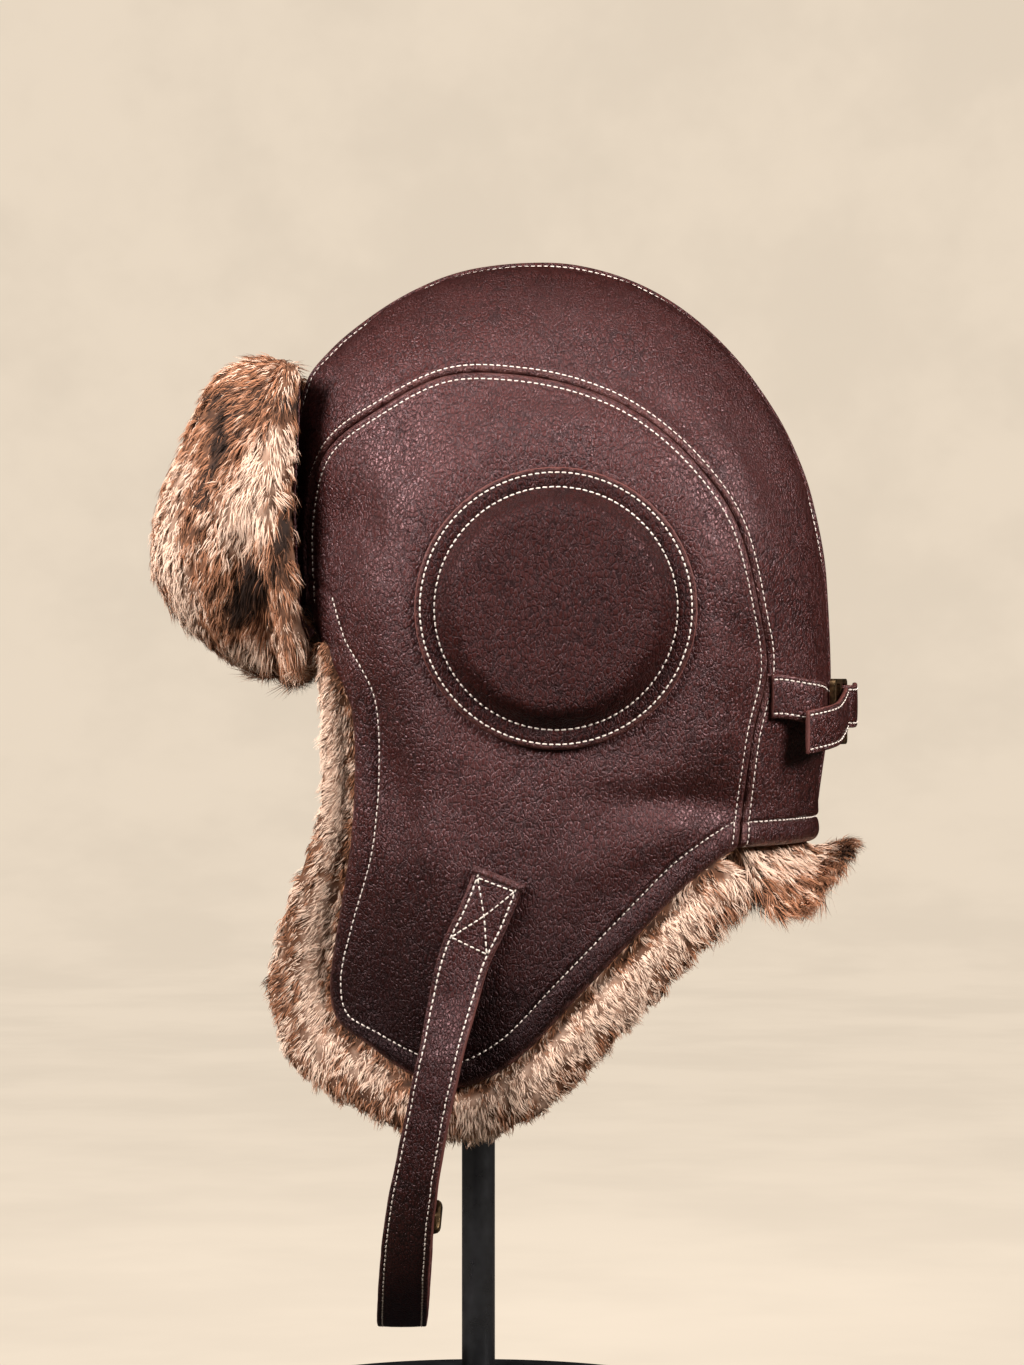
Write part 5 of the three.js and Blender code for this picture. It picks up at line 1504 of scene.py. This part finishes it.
class HELMET_OT_stand(bpy.types.Operator):
    """Models the plain stand: base, post and domed head"""

    bl_idname = "helmet.stand"
    bl_label = "Stand"

    def execute(self, context):
        for node, sides, rounding in (("stand_base", 160, 0.0022), ("stand_post", 64, 0.0004)):
            low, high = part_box(node)
            middle, size = (low + high) / 2, high - low
            clear_selection()
            bpy.ops.mesh.primitive_cylinder_add(vertices=sides, radius=size.x / 2, depth=size.z, location=middle)
            piece = named(node.replace("stand", "painted"))
            bpy.ops.object.transform_apply(location=True)
            apply_modifier(piece, "BEVEL", width=rounding, segments=5, angle_limit=0.6)
            finish(piece, [paint_material()], [node])
        low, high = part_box("stand_head")
        clear_selection()
        middle = (low.x + high.x) / 2, (low.y + high.y) / 2, high.z - DOME
        bpy.ops.mesh.primitive_uv_sphere_add(segments=96, ring_count=96, radius=DOME, location=middle)
        head = named("painted_head")
        bpy.ops.object.transform_apply(location=True)
        cut = {"plane_co": (0, 0, low.z), "plane_no": (0, 0, 1), "clear_inner": True, "use_fill": True}
        edit(head, (bpy.ops.mesh.bisect, cut))
        apply_modifier(head, "BEVEL", width=0.001, segments=3, angle_limit=0.6)
        finish(head, [paint_material()], ["stand_head"])
        return {"FINISHED"}


class HELMET_OT_stage(bpy.types.Operator):
    """Sets up the pale floor, the soft lights and the camera"""

    bl_idname = "helmet.stage"
    bl_label = "Stage"

    def execute(self, context):
        stage, scene = context.scene.helmet_stage, context.scene
        floor = shown("floor", self.bowl())
        floor.data.materials.append(paper_material(stage))
        floor.data.shade_smooth()
        world = bpy.data.worlds.new("studio")
        scene.world = world
        world.use_nodes = True
        sky = world.node_tree.nodes["Background"].inputs
        sky[0].default_value, sky[1].default_value = (1, 0.98, 0.96, 1), stage.sky
        scene.view_settings.view_transform = "Standard"
        aim = Vector((0, 0.03, 0.43))
        for name, place, size, power in (
            ("front light", (0.6, -0.95, 0.98), 0.6, stage.front),
            ("top light", (0.5, 0.0, 1.3), 0.7, stage.top),
            ("back light", (0.65, 1.0, 0.95), 0.55, stage.back),
        ):
            lamp = bpy.data.lights.new(name, "AREA")
            lamp.size, lamp.energy, lamp.color = size, power, (1, 0.975, 0.96)
            lamp.spread = math.radians(60)
            light = bpy.data.objects.new(name, lamp)
            light.location = place
            light.rotation_euler = (aim - Vector(place)).to_track_quat("-Z", "Y").to_euler()
            scene.collection.objects.link(light)
        camera = bpy.data.objects.new("camera", bpy.data.cameras.new("camera"))
        camera.data.sensor_width = 36
        camera.data.lens = 36 * stage.distance / VIEW_HEIGHT
        camera.data.clip_start = 0.05
        camera.location = (stage.distance, 0.0136, 0.2961)
        camera.rotation_euler = (math.pi / 2, 0, math.pi / 2)
        scene.collection.objects.link(camera)
        scene.camera = camera
        return {"FINISHED"}

    def bowl(self):
        """A wide shallow bowl, whose rim is the backdrop on every side."""
        turns = np.linspace(0.1, math.pi / 2, 16)
        curve = [(FLOOR_FLAT + FLOOR_CURVE * math.sin(a), FLOOR_CURVE * (1 - math.cos(a))) for a in turns]
        rings = [(FLOOR_FLAT, 0), *curve, (FLOOR_FLAT + FLOOR_CURVE, 3.4)]
        angles = [2 * math.pi * k / FLOOR_SIDES for k in range(FLOOR_SIDES)]
        points = [(0, 0, FLOOR_Z), *((r * math.cos(a), r * math.sin(a), z + FLOOR_Z) for r, z in rings for a in angles)]
        faces = []
        for k in range(FLOOR_SIDES):
            after = (k + 1) % FLOOR_SIDES
            faces.append((0, 1 + k, 1 + after))
            for i in range(len(rings) - 1):
                a, b = 1 + i * FLOOR_SIDES, 1 + (i + 1) * FLOOR_SIDES
                faces.append((a + k, b + k, b + after, a + after))
        mesh = bpy.data.meshes.new("floor")
        mesh.from_pydata(points, [], faces)
        return mesh


class HELMET_PT_panel(bpy.types.Panel):
    """Sizes, colours and the steps of the helmet"""

    bl_label = "Flying Helmet"
    bl_idname = "HELMET_PT_panel"
    bl_space_type = "VIEW_3D"
    bl_region_type = "UI"
    bl_category = "Helmet"

    def draw(self, context):
        for name in SETTINGS:
            group = getattr(context.scene, name)
            column = self.layout.column(align=True)
            for key in group.bl_rna.properties.keys():
                if key not in ("rna_type", "name"):
                    column.prop(group, key)
        for step in STEPS:
            self.layout.operator(step.bl_idname)


SETTINGS = {
    "helmet_leather": LeatherSettings, "helmet_thread": ThreadSettings, "helmet_fur": FurSettings,
    "helmet_stand": StandSettings, "helmet_stage": StageSettings,
}
STEPS = (
    HELMET_OT_shell, HELMET_OT_ear_discs, HELMET_OT_forehead_flap, HELMET_OT_chin_strap, HELMET_OT_back_strap,
    HELMET_OT_fur, HELMET_OT_stand, HELMET_OT_stage,
)
CLASSES = (*SETTINGS.values(), *STEPS, HELMET_PT_panel)


def register():
    for entry in CLASSES:
        bpy.utils.register_class(entry)
    for name, group in SETTINGS.items():
        setattr(bpy.types.Scene, name, PointerProperty(type=group))


def unregister():
    for name in SETTINGS:
        delattr(bpy.types.Scene, name)
    for entry in reversed(CLASSES):
        bpy.utils.unregister_class(entry)


def main():
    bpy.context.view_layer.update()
    register()
    for step in STEPS:
        getattr(bpy.ops.helmet, step.bl_idname.partition(".")[2])()


if __name__ == "__main__":
    main()
